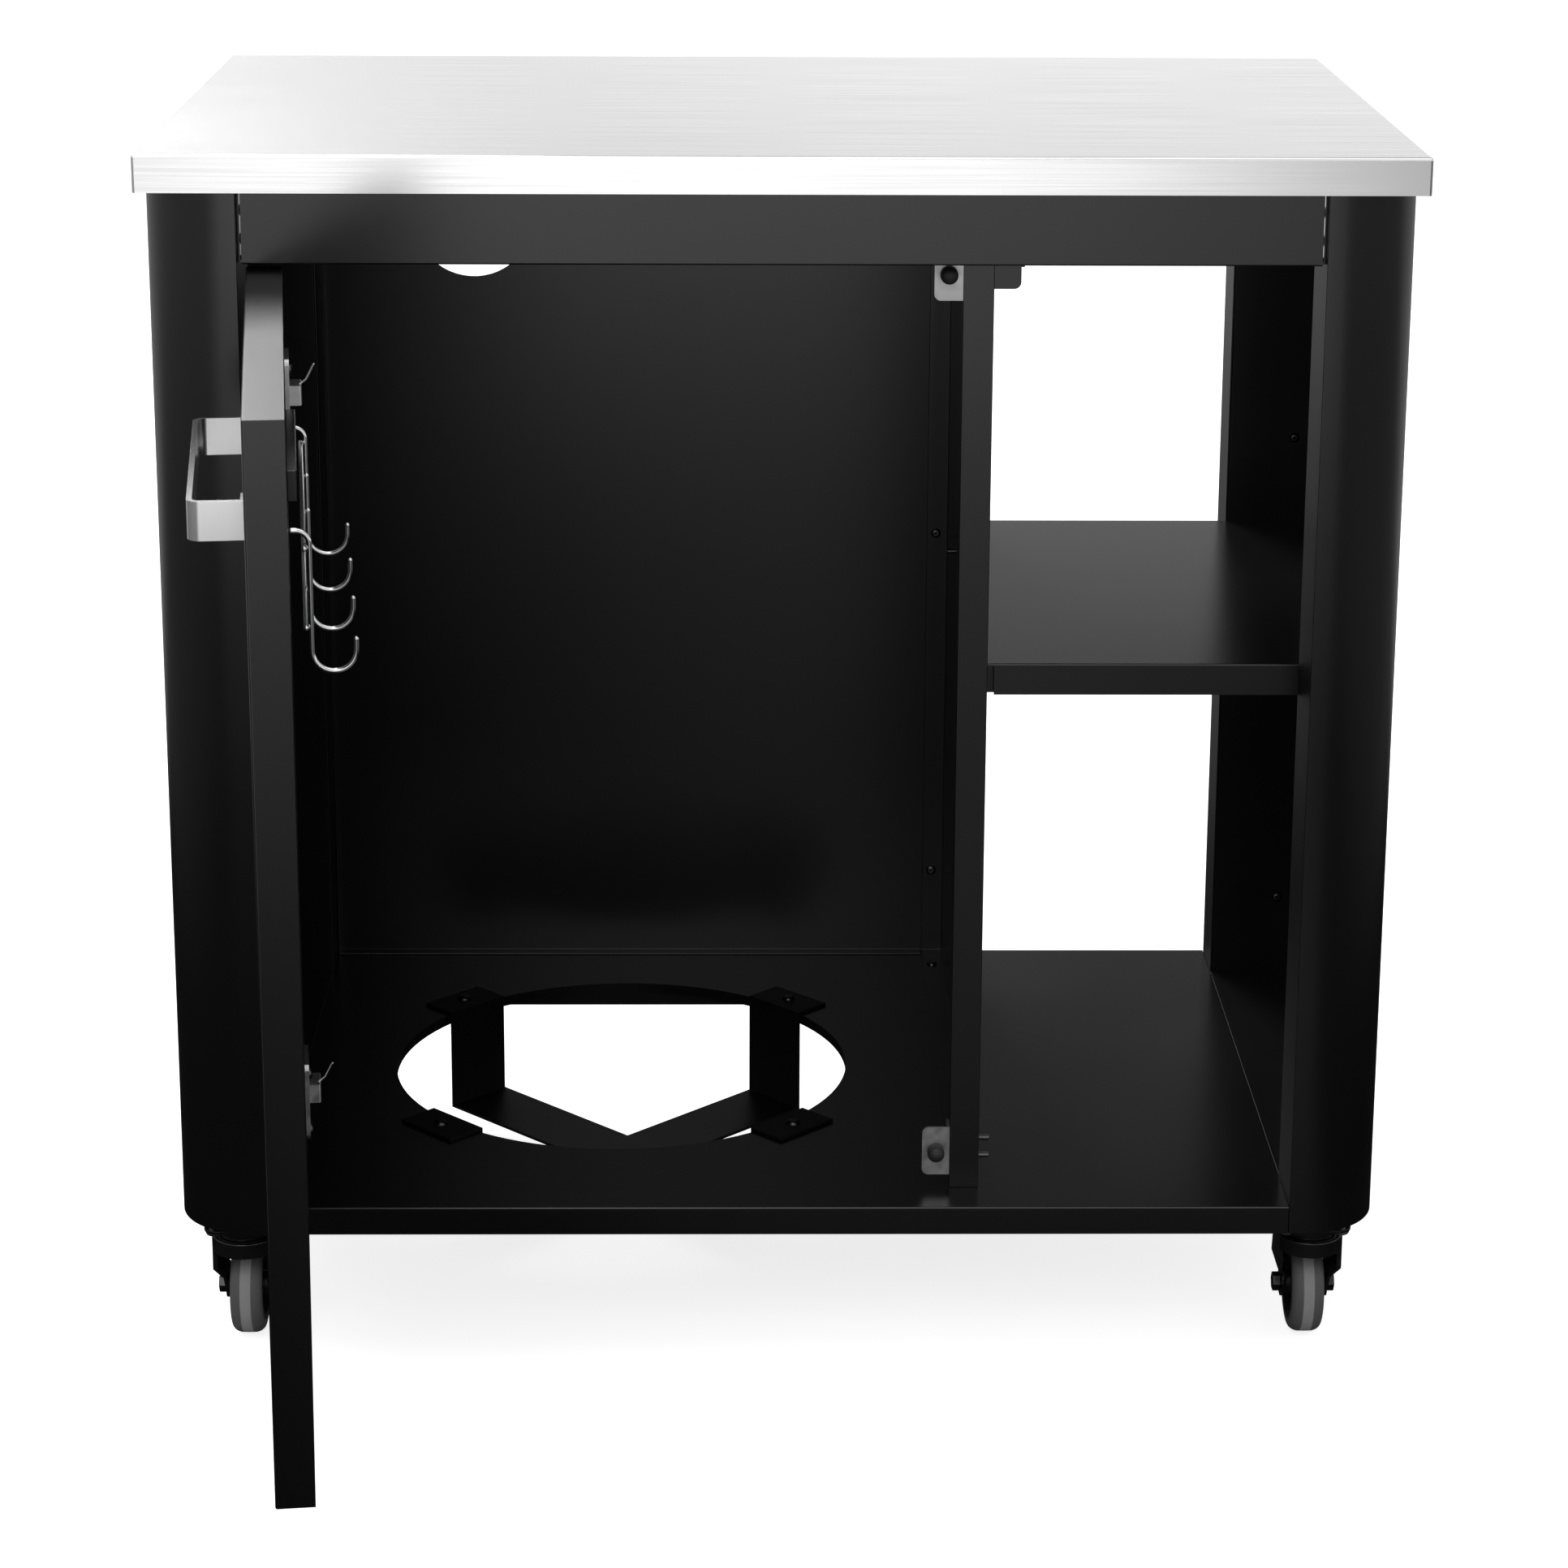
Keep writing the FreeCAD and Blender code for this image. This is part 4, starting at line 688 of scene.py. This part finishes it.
def moulded(name, colour, roughness):
    """Paint, plastic or rubber with slight changes of tone and sheen."""
    material, tree, shader, place = new_material(name)
    patches = noise(tree, place, scale=60.0, detail=3.0)
    surface(tree, shader, mottled(tree, patches, colour, share=0.2),
            uneven(tree, patches, roughness, change=0.1 * roughness))
    specks = noise(tree, place, scale=900.0, detail=2.0)
    grain(tree, shader, specks, strength=0.05, depth=0.1 * MILLIMETRE)
    return material


def banded_tyre(name, finish, sizes):
    """Grey tyre whose tread has a paler band round its middle, a painted highlight along the tread's crown."""
    material, tree, shader, place = new_material(name)
    across = add_node(tree, "ShaderNodeAttribute", {}, attribute_name="across")
    # Mask of the painted highlight band, from the distance across the tread
    edge = add_node(tree, "ShaderNodeMapRange", {
        "Value": across.outputs["Fac"], "From Min": sizes.highlight_half_width + sizes.highlight_blend,
        "From Max": sizes.highlight_half_width - sizes.highlight_blend}, interpolation_type="SMOOTHSTEP")
    dust = noise(tree, place, scale=220.0, detail=3.0)
    flank = mottled(tree, dust, finish.tyre_colour, share=0.1)
    highlight_tone = mottled(tree, dust, finish.highlight_colour, share=0.07)
    surface(tree, shader, mixed(tree, edge.outputs["Result"], flank, highlight_tone, "RGBA"),
            uneven(tree, dust, finish.tyre_roughness, change=0.065))
    grain(tree, shader, dust, strength=0.05, depth=0.2 * MILLIMETRE)
    return material


def material_for(kind):
    """The finish of a kind of surface, made when it is first asked for."""
    sizes, finish, _ = settings()
    coat = finish.coat_colour
    nickel = finish.nickel_colour
    makers = {
        "black_coat": (powder_coat, "powder_coat", coat, finish.coat_roughness, finish.coat_gloss),
        # dull_coat: a duller, darker-looking copy of the baked coat, painted shade inside the shells
        "dull_coat": (powder_coat, "dull_coat", coat, finish.shade_coat_roughness, finish.shade_coat_gloss),
        "stainless": (satin_stainless, "satin_stainless", finish.stainless_colour,
                      finish.stainless_roughness, WORKTOP_GRIND),
        "handle": (satin_stainless, "satin_handle", finish.handle_colour,
                   finish.handle_roughness, HANDLE_GRIND),
        "zinc_plate": (plated, "clouded_zinc", finish.zinc_colour, finish.zinc_roughness),
        "bright_steel": (plated, "bright_nickel", nickel, finish.wire_roughness),
        "hinge": (plated, "satin_nickel", nickel, finish.hinge_roughness),
        "dark_screw": (plated, "blackened_steel", finish.screw_colour, finish.screw_roughness),
        "black_rubber": (moulded, "bumper_rubber", finish.rubber_colour, finish.rubber_roughness),
        "black_gloss_paint": (moulded, "gloss_paint", finish.paint_colour, finish.paint_roughness),
        "hub_plastic": (moulded, "moulded_hub", finish.hub_colour, finish.hub_roughness),
        "grey_tyre": (banded_tyre, "banded_tyre", finish, sizes),
    }
    maker, name, *values = makers[kind]
    return bpy.data.materials.get(name) or maker(name, *values)


# Operators, one for each group of pieces

class CABINET_OT_worktop(bpy.types.Operator):
    """Satin stainless worktop with softened folds, and its stiffeners"""

    bl_idname = "cabinet.worktop"
    bl_label = "Worktop"

    def execute(self, context):
        dress_all(("worktop", "worktop_stiffeners"), context.scene.cabinet_sizes.fold_radius)
        return {"FINISHED"}


class CABINET_OT_body(bpy.types.Operator):
    """Side shells, rails, post plates, ledges and foot plates"""

    bl_idname = "cabinet.body"
    bl_label = "Body sheets"

    def execute(self, context):
        radius = context.scene.cabinet_sizes.fold_radius
        dress_all(("front_top_rail", "rear_top_rail", "front_post_plates", "rear_post_plates",
                   "right_side_ledge", "left_side_ledge", "foot_plates"), radius)
        for node, inward in (("left_side_shell", 1.0), ("right_side_shell", -1.0)):
            shell = dress(node, radius, material_for(slot_of[node]))
            # The shells' inward faces get the duller coat as painted shade
            self.shade_inside(shell.data, inward)
        return {"FINISHED"}

    def shade_inside(self, mesh, inward):
        """Gives the faces that look into the cabinet a duller copy of the coat that mirrors less: painted shade
        inside the shells.
        """
        mesh.materials.append(material_for("dull_coat"))
        for face in mesh.polygons:
            if inward * face.normal.x > FACING_SHARE:
                face.material_index = 1


class CABINET_OT_base(bpy.types.Operator):
    """Base with the bottle cut-out and its cradle"""

    bl_idname = "cabinet.base"
    bl_label = "Base and cradle"

    def execute(self, context):
        radius = context.scene.cabinet_sizes.fold_radius
        dress_all(("base_panel", "base_stiffeners"), radius)
        # The straps wear the duller, darker-looking copy of the coat that paints shade inside the shells
        for strap in ("lower_cradle_strap", "upper_cradle_strap"):
            dress(strap, radius, material_for("dull_coat"))
        return {"FINISHED"}


class CABINET_OT_inside(bpy.types.Operator):
    """Back panel, divider, its bracket and the shelf"""

    bl_idname = "cabinet.inside"
    bl_label = "Inside panels"

    def execute(self, context):
        dress_all(("back_panel", "divider", "divider_bracket", "shelf"),
                  context.scene.cabinet_sizes.fold_radius)
        return {"FINISHED"}


class CABINET_OT_door_stops(bpy.types.Operator):
    """Zinc brackets and the rubber domes that the door closes against"""

    bl_idname = "cabinet.door_stops"
    bl_label = "Door stops"

    def execute(self, context):
        dress_all(("bumper_brackets",), context.scene.cabinet_sizes.fold_radius)
        node = "rubber_bumpers"
        name = node + "_finished"
        skin = bmesh.new()
        for points in solids_of(node, Matrix.Identity(4)):
            low, high = extent(points)
            mesh = self.dome(low, high)
            skin.from_mesh(mesh)
            bpy.data.meshes.remove(mesh)
        finished(name, as_mesh(skin, name), body_of[node], material_for("black_rubber"), slot_of[node], node)
        return {"FINISHED"}

    def dome(self, low, high):
        """Round-headed bumper with a stem and barb, between the corners of its solid."""
        bracket_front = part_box("bumper_brackets")[0].y
        radius = (high.x - low.x) / 2
        reach = bracket_front - low.y
        depth = high.y - bracket_front
        seat = Vector(((low.x + high.x) / 2, bracket_front, (low.z + high.z) / 2))
        barb = 0.65 * radius
        barb_tip = 0.6 * barb
        barb_start = depth - 0.4 * radius
        stem = 0.39 * radius
        rim = 0.12 * radius
        wall = 0.55 * reach
        profile = [(0.0, -depth), (barb_tip, -depth), (barb, -barb_start), (stem, -barb_start), (stem, 0.0),
                   (radius - rim, 0.0), (radius, rim)]
        profile += arc((0.0, wall), (radius, reach - wall), start=90, end=0, count=10)
        return turned("bumper", profile, seat, Vector((0, -1, 0)), BUMPER_STEPS)


class CABINET_OT_hinges(bpy.types.Operator):
    """Hinge arms, pins and cups, with a release lever over each cup"""

    bl_idname = "cabinet.hinges"
    bl_label = "Hinges"

    def execute(self, context):
        sizes = context.scene.cabinet_sizes
        cups = ("upper_hinge_cup", "lower_hinge_cup")
        for node in cups + ("upper_hinge_arm", "lower_hinge_arm", "hinge_pins"):
            dress(node, sizes.hinge_radius, material_for("hinge"))
        levers = path_mesh([self.lever(cup, sizes) for cup in cups])
        bright = material_for("bright_steel")
        mesh = grown(levers, wire_tree(), {"Wire Radius": sizes.lever_radius, "Material": bright})
        finished("hinge_levers", mesh, body_of[cups[0]], bright, slot_of[cups[0]])
        return {"FINISHED"}

    def lever(self, cup, sizes):
        """Line of a release lever, from its cup's face out and up."""
        low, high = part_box(cup)
        middle = (low + high) / 2
        foot = Vector((high.x - 2 * sizes.lever_radius, middle.y, middle.z + sizes.lever_rise / 3))
        knee = Vector((high.x + sizes.lever_reach / 3, middle.y, middle.z + sizes.lever_rise / 2))
        tip = Vector((high.x + sizes.lever_reach, middle.y, middle.z + sizes.lever_rise))
        return [foot, knee, tip]


class CABINET_OT_door(bpy.types.Operator):
    """Door skin, inner panel, stiffener and tool strip"""

    bl_idname = "cabinet.door"
    bl_label = "Door"

    def execute(self, context):
        dress_all(("door_skin", "door_inner_panel", "door_stiffener", "tool_strip"),
                  context.scene.cabinet_sizes.fold_radius)
        return {"FINISHED"}


class CABINET_OT_handle(bpy.types.Operator):
    """Bow handle of satin flat bar"""

    bl_idname = "cabinet.handle"
    bl_label = "Handle"

    def execute(self, context):
        dress("door_handle", context.scene.cabinet_sizes.fold_radius, material_for("handle"))
        return {"FINISHED"}


class CABINET_OT_hook_rack(bpy.types.Operator):
    """Two straight wires and the row of wire hooks inside the door"""

    bl_idname = "cabinet.hook_rack"
    bl_label = "Hook rack"

    def execute(self, context):
        sizes = context.scene.cabinet_sizes
        wires = [self.straight(points) for points in solids_of("rack_wires", shut_turn)]
        solids = sorted(solids_of("rack_hooks", shut_turn), key=lambda points: extent(points)[0].x)
        inner = solids[1:-1]
        stem_y = min(extent(points)[0].y for points in inner) + sizes.wire_radius
        hooks = [self.hook(points, stem_y, sizes) for points in solids]
        tree = wire_tree()
        bright = material_for("bright_steel")
        for node, lines in (("rack_wires", wires), ("rack_hooks", hooks)):
            opened = path_mesh([[open_turn @ p for p in line] for line in lines])
            mesh = grown(opened, tree, {"Wire Radius": sizes.wire_radius, "Material": bright})
            finished(node + "_finished", mesh, body_of[node], bright, slot_of[node], node)
        return {"FINISHED"}

    def straight(self, points):
        """Centre line of one straight wire, short of its ends by the rounded tips."""
        low, high = extent(points)
        radius = (high.z - low.z) / 2
        y = (low.y + high.y) / 2
        z = (low.z + high.z) / 2
        return [Vector((low.x + radius, y, z)), Vector((high.x - radius, y, z))]

    def hook(self, points, stem_y, sizes):
        """Centre line of one hook: stem, half-round bend and tip, and the turned-in top of an outer one."""
        low, high = extent(points)
        wire = sizes.wire_radius
        corner = sizes.hook_corner
        x = (low.x + high.x) / 2
        top = high.z - wire
        bend = (high.y - wire - stem_y) / 2
        bend_z = low.z + wire + bend
        tip_z = max(p.z for p in points if p.y > stem_y + bend) - wire
        turns_in = low.y < stem_y - 3 * wire
        line = []
        if turns_in:
            line.append(Vector((x, low.y + wire, top)))
            for i in range(CORNER_STEPS + 1):
                angle = math.radians(90 * i / CORNER_STEPS)
                line.append(Vector((x, stem_y - corner + corner * math.sin(angle),
                                    top - corner + corner * math.cos(angle))))
        else:
            line.append(Vector((x, stem_y, top)))
        for i in range(BEND_STEPS + 1):
            angle = math.radians(180 * i / BEND_STEPS)
            line.append(Vector((x, stem_y + bend - bend * math.cos(angle), bend_z - bend * math.sin(angle))))
        line.append(Vector((x, stem_y + 2 * bend, tip_z)))
        return line


class CABINET_OT_castors(bpy.types.Operator):
    """Castor heads, forks, axles, hubs and tyres with a painted highlight band"""

    bl_idname = "cabinet.castors"
    bl_label = "Castors"

    def execute(self, context):
        sizes = context.scene.cabinet_sizes
        paint = material_for("black_gloss_paint")
        dress("castor_heads", sizes.castor_head_radius, paint)
        for corner in CORNERS:
            for part in ("_castor_fork", "_castor_axle"):
                dress(corner + part, sizes.castor_radius, paint)
            dress(corner + "_castor_hub", sizes.castor_radius, material_for("hub_plastic"))
            self.tyre(corner + "_castor_tyre")
        return {"FINISHED"}

    def tyre(self, node):
        """Tyre with a slightly crowned tread and rounded shoulders."""
        low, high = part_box(node)
        centre = (low + high) / 2
        outer = (high.z - low.z) / 2
        half = (high.x - low.x) / 2
        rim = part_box(node.replace("tyre", "hub"))
        inner = (rim[1].z - rim[0].z) / 2
        shoulder = 0.62 * (outer - inner)
        flat = 0.3 * half
        side = [(inner, half)]
        side += arc((outer - shoulder, flat), (shoulder, half - flat), start=0, end=78, count=12)
        profile = side + [(outer, 0.0)] + [(r, -x) for r, x in reversed(side)]
        mesh = turned(node + "_finished", profile, centre, Vector((1, 0, 0)), TYRE_STEPS)
        # Distance across the tread, which places the painted highlight band
        across = mesh.attributes.new("across", "FLOAT", "POINT")
        for vertex, value in zip(mesh.vertices, across.data):
            value.value = abs(vertex.co.x - centre.x)
        finished(node + "_finished", mesh, body_of[node], material_for("grey_tyre"), slot_of[node], node)


class CABINET_OT_fasteners(bpy.types.Operator):
    """Screws and bolts with cross recesses, set on the seats of the solids"""

    bl_idname = "cabinet.fasteners"
    bl_label = "Fasteners"

    def execute(self, context):
        tree = screw_tree()
        for node in ("post_plate_screws", "body_screws", "panel_screws", "bumper_bolts", "hinge_arm_screws",
                     "hinge_cup_screws", "handle_screws", "cradle_bolts", "castor_bolts"):
            turn = Matrix.Identity(4)
            back = Matrix.Identity(4)
            if body_of[node] == "door":
                turn = shut_turn
                back = open_turn
            groups = {}
            for points in solids_of(node, turn):
                seat, axis, sizes = self.measured(points)
                groups.setdefault(sizes, []).append((back @ seat, back.to_3x3() @ axis))
            skin = bmesh.new()
            material = material_for(slot_of[node])
            for sizes, seats in groups.items():
                mesh = grown(self.seat_mesh(seats), tree, {
                    "Head Radius": sizes[0], "Head Height": sizes[1], "Shank Radius": sizes[2],
                    "Shank Length": sizes[3], "Material": material})
                skin.from_mesh(mesh)
                bpy.data.meshes.remove(mesh)
            name = node + "_finished"
            mesh = bpy.data.meshes.new(name)
            skin.to_mesh(mesh)
            skin.free()
            finished(name, mesh, body_of[node], material, slot_of[node], node)
        return {"FINISHED"}

    def measured(self, points):
        """Seat, outward axis and (head radius, head height, shank radius, shank length) of one screw."""
        low, high = extent(points)
        size = high - low
        spread = [abs(size[(i + 1) % 3] - size[(i + 2) % 3]) for i in range(3)]
        k = spread.index(min(spread))
        middle = (low + high) / 2
        head_radius = size[(k + 1) % 3] / 2

        def away(p):
            return math.hypot(p[(k + 1) % 3] - middle[(k + 1) % 3], p[(k + 2) % 3] - middle[(k + 2) % 3])

        rim = [p[k] for p in points if away(p) > RIM_SHARE * head_radius]
        sign = 1.0 if sum(rim) / len(rim) > middle[k] else -1.0
        seat = middle.copy()
        seat[k] = min(rim, key=lambda t: sign * t)
        axis = Vector((0, 0, 0))
        axis[k] = sign
        top = high[k] if sign > 0 else low[k]
        tail = low[k] if sign > 0 else high[k]
        shank_radius = max(away(p) for p in points if abs(p[k] - tail) < TAIL_DEPTH)
        sizes = (head_radius, abs(top - seat[k]), shank_radius, abs(seat[k] - tail))
        return seat, axis, tuple(round(s, 5) for s in sizes)

    def seat_mesh(self, seats):
        """Points on the seats that carry the screws' axes."""
        mesh = bpy.data.meshes.new("screw seats")
        mesh.from_pydata([seat for seat, _ in seats], [], [])
        axes = mesh.attributes.new("screw_axis", "FLOAT_VECTOR", "POINT")
        for value, (_, axis) in zip(axes.data, seats):
            value.vector = axis
        return mesh


class CABINET_OT_stage(bpy.types.Operator):
    """Pale floor, soft light and the camera"""

    bl_idname = "cabinet.stage"
    bl_label = "Stage"

    def execute(self, context):
        stage = context.scene.cabinet_stage
        self.floor(stage)
        self.sky(context.scene, stage)
        self.soft_box("front soft box", *FRONT_BOX, stage.front_power)
        self.soft_box("top soft box", *TOP_BOX, stage.top_power)
        self.soft_box("back soft box", *BACK_BOX, stage.back_power)
        self.camera(context.scene, stage)
        context.scene.view_settings.view_transform = "Standard"
        return {"FINISHED"}

    def seen_white(self, tree, rays, seen, mirrored, otherwise):
        """One strength for what the camera sees, one for reflections and one for the light."""
        shown = mixed(tree, rays["Is Camera Ray"], otherwise, seen, "FLOAT")
        return mixed(tree, rays["Is Glossy Ray"], shown, mirrored, "FLOAT")

    def gentle(self, tree, value, start, end, first, second):
        """Soft step from first to second while the value goes from start to end."""
        node = add_node(tree, "ShaderNodeMapRange", {
            "Value": value, "From Min": start, "From Max": end, "To Min": first, "To Max": second},
            interpolation_type="SMOOTHSTEP")
        return node.outputs["Result"]

    def floor(self, stage):
        """Pale floor that shiny surfaces mirror dark near the cabinet and white far off."""
        half = stage.floor_size / 2
        mesh = bpy.data.meshes.new("floor")
        mesh.from_pydata([(-half, -half, 0), (half, -half, 0), (half, half, 0), (-half, half, 0)], [],
                         [(0, 1, 2, 3)])
        floor = bpy.data.objects.new("floor", mesh)
        bpy.context.scene.collection.objects.link(floor)
        material, tree, shader, place = new_material("pale_floor")
        shader.inputs["Roughness"].default_value = 0.9
        shader.inputs["Specular IOR Level"].default_value = 0.0
        shader.inputs["Emission Color"].default_value = WHITE
        rays = add_node(tree, "ShaderNodeLightPath", {}).outputs
        lit = mixed(tree, rays["Is Glossy Ray"], stage.floor_colour, BLACK, "RGBA")
        tree.links.new(lit, shader.inputs["Base Color"])
        glow = self.seen_white(tree, rays, stage.floor_glow, self.mirrored_floor(tree, place, stage), 0.0)
        tree.links.new(glow, shader.inputs["Emission Strength"])
        mesh.materials.append(material)

    def mirrored_floor(self, tree, place, stage):
        """White of the floor in reflections: a far pool, the floor round the cabinet and a strip in front."""
        x, y, _ = axes_of(tree, place)
        reach = add_node(tree, "ShaderNodeVectorMath", {0: place}, operation="LENGTH").outputs["Value"]
        pool = self.gentle(tree, reach, stage.floor_near, stage.floor_far,
                           FLOOR_DARKEST, stage.floor_mirrored)
        for step in (FLOOR_LEFT, FLOOR_RIGHT):
            pool = math_node(tree, "MULTIPLY", pool, self.gentle(tree, x, *step))
        aside = math_node(tree, "ABSOLUTE", x, 0.0)
        behind = self.gentle(tree, y, *FLOOR_BEHIND, 0.0, stage.floor_behind)
        beside = self.gentle(tree, aside, *FLOOR_BESIDE, 0.0, stage.floor_beside)
        around = math_node(tree, "MAXIMUM", pool, math_node(tree, "MAXIMUM", behind, beside))
        off_strip = math_node(tree, "ABSOLUTE", math_node(tree, "SUBTRACT", x, STRIP_MIDDLE), 0.0)
        strip = math_node(tree, "MULTIPLY", self.gentle(tree, off_strip, *STRIP_SIDES),
                          self.gentle(tree, y, *STRIP_FRONT))
        return math_node(tree, "MAXIMUM", around, strip)

    def sky(self, scene, stage):
        """White studio that shiny surfaces mirror as a low backdrop behind and as white in front."""
        world = bpy.data.worlds.new("white studio")
        scene.world = world
        world.use_nodes = True
        tree = world.node_tree
        background = tree.nodes["Background"]
        background.inputs["Color"].default_value = WHITE
        x, y, z = axes_of(tree, add_node(tree, "ShaderNodeTexCoord", {}).outputs["Generated"])
        fade = self.gentle(tree, z, *SKY_RISE, stage.backdrop_low, stage.backdrop_high)
        backdrop = math_node(tree, "MULTIPLY", fade, self.gentle(tree, x, *SKY_SIDES))
        around = self.gentle(tree, y, *SKY_FRONT, stage.backdrop_around, 0.0)
        mirrored = math_node(tree, "MAXIMUM", backdrop, around)
        rays = add_node(tree, "ShaderNodeLightPath", {}).outputs
        strength = self.seen_white(tree, rays, 1.0, mirrored, stage.sky_strength)
        tree.links.new(strength, background.inputs["Strength"])

    def soft_box(self, name, place, target, size, power):
        """Round lamp that the camera doesn't see."""
        light = bpy.data.lights.new(name, "AREA")
        light.shape = "DISK"
        light.size = size
        light.energy = power
        lamp = bpy.data.objects.new(name, light)
        lamp.location = place
        lamp.rotation_euler = (target - place).to_track_quat("-Z", "Y").to_euler()
        lamp.visible_camera = False
        bpy.context.scene.collection.objects.link(lamp)

    def camera(self, scene, stage):
        """Camera at the photograph's place: slightly left of the middle, above, looking down."""
        ahead = math.cos(CAMERA_PITCH)
        forward = Vector((math.sin(CAMERA_YAW) * ahead, math.cos(CAMERA_YAW) * ahead,
                          -math.sin(CAMERA_PITCH)))
        level = Vector((math.cos(CAMERA_YAW), -math.sin(CAMERA_YAW), 0))
        upright = forward.cross(level)
        right = math.cos(CAMERA_ROLL) * level + math.sin(CAMERA_ROLL) * upright
        down = math.cos(CAMERA_ROLL) * upright - math.sin(CAMERA_ROLL) * level
        data = bpy.data.cameras.new("photo camera")
        data.sensor_fit = "HORIZONTAL"
        data.sensor_width = SENSOR_WIDTH
        data.lens = stage.lens
        data.shift_y = CAMERA_SHIFT_PIXELS / PHOTO_PIXELS
        data.clip_end = 2 * stage.floor_size
        camera = bpy.data.objects.new("photo camera", data)
        axes = Matrix((right, -down, -forward)).transposed().to_4x4()
        camera.matrix_world = Matrix.Translation(CAMERA_PLACE) @ axes
        scene.collection.objects.link(camera)
        scene.camera = camera


class CABINET_PT_sidebar(bpy.types.Panel):
    """Sizes, finishes and the buttons that make the pieces"""

    bl_idname = "CABINET_PT_sidebar"
    bl_label = "Cabinet"
    bl_space_type = "VIEW_3D"
    bl_region_type = "UI"
    bl_category = "Cabinet"

    def draw(self, context):
        for group in settings():
            box = self.layout.box()
            for name in group.bl_rna.properties.keys():
                if name not in ("rna_type", "name"):
                    box.prop(group, name)
        for operator in operators:
            self.layout.operator(operator.bl_idname)


groups = (CabinetSizes, CabinetFinishes, CabinetStage)
operators = (CABINET_OT_worktop, CABINET_OT_body, CABINET_OT_base, CABINET_OT_inside, CABINET_OT_door_stops,
             CABINET_OT_hinges, CABINET_OT_door, CABINET_OT_handle, CABINET_OT_hook_rack, CABINET_OT_castors,
             CABINET_OT_fasteners, CABINET_OT_stage)


def register():
    for item in groups + operators + (CABINET_PT_sidebar,):
        bpy.utils.register_class(item)
    bpy.types.Scene.cabinet_sizes = bpy.props.PointerProperty(type=CabinetSizes)
    bpy.types.Scene.cabinet_finishes = bpy.props.PointerProperty(type=CabinetFinishes)
    bpy.types.Scene.cabinet_stage = bpy.props.PointerProperty(type=CabinetStage)


def unregister():
    del bpy.types.Scene.cabinet_stage
    del bpy.types.Scene.cabinet_finishes
    del bpy.types.Scene.cabinet_sizes
    for item in reversed(groups + operators + (CABINET_PT_sidebar,)):
        bpy.utils.unregister_class(item)


def main():
    register()
    for operator in operators:
        family, call = operator.bl_idname.split(".")
        getattr(getattr(bpy.ops, family), call)()


if __name__ == "__main__":
    main()
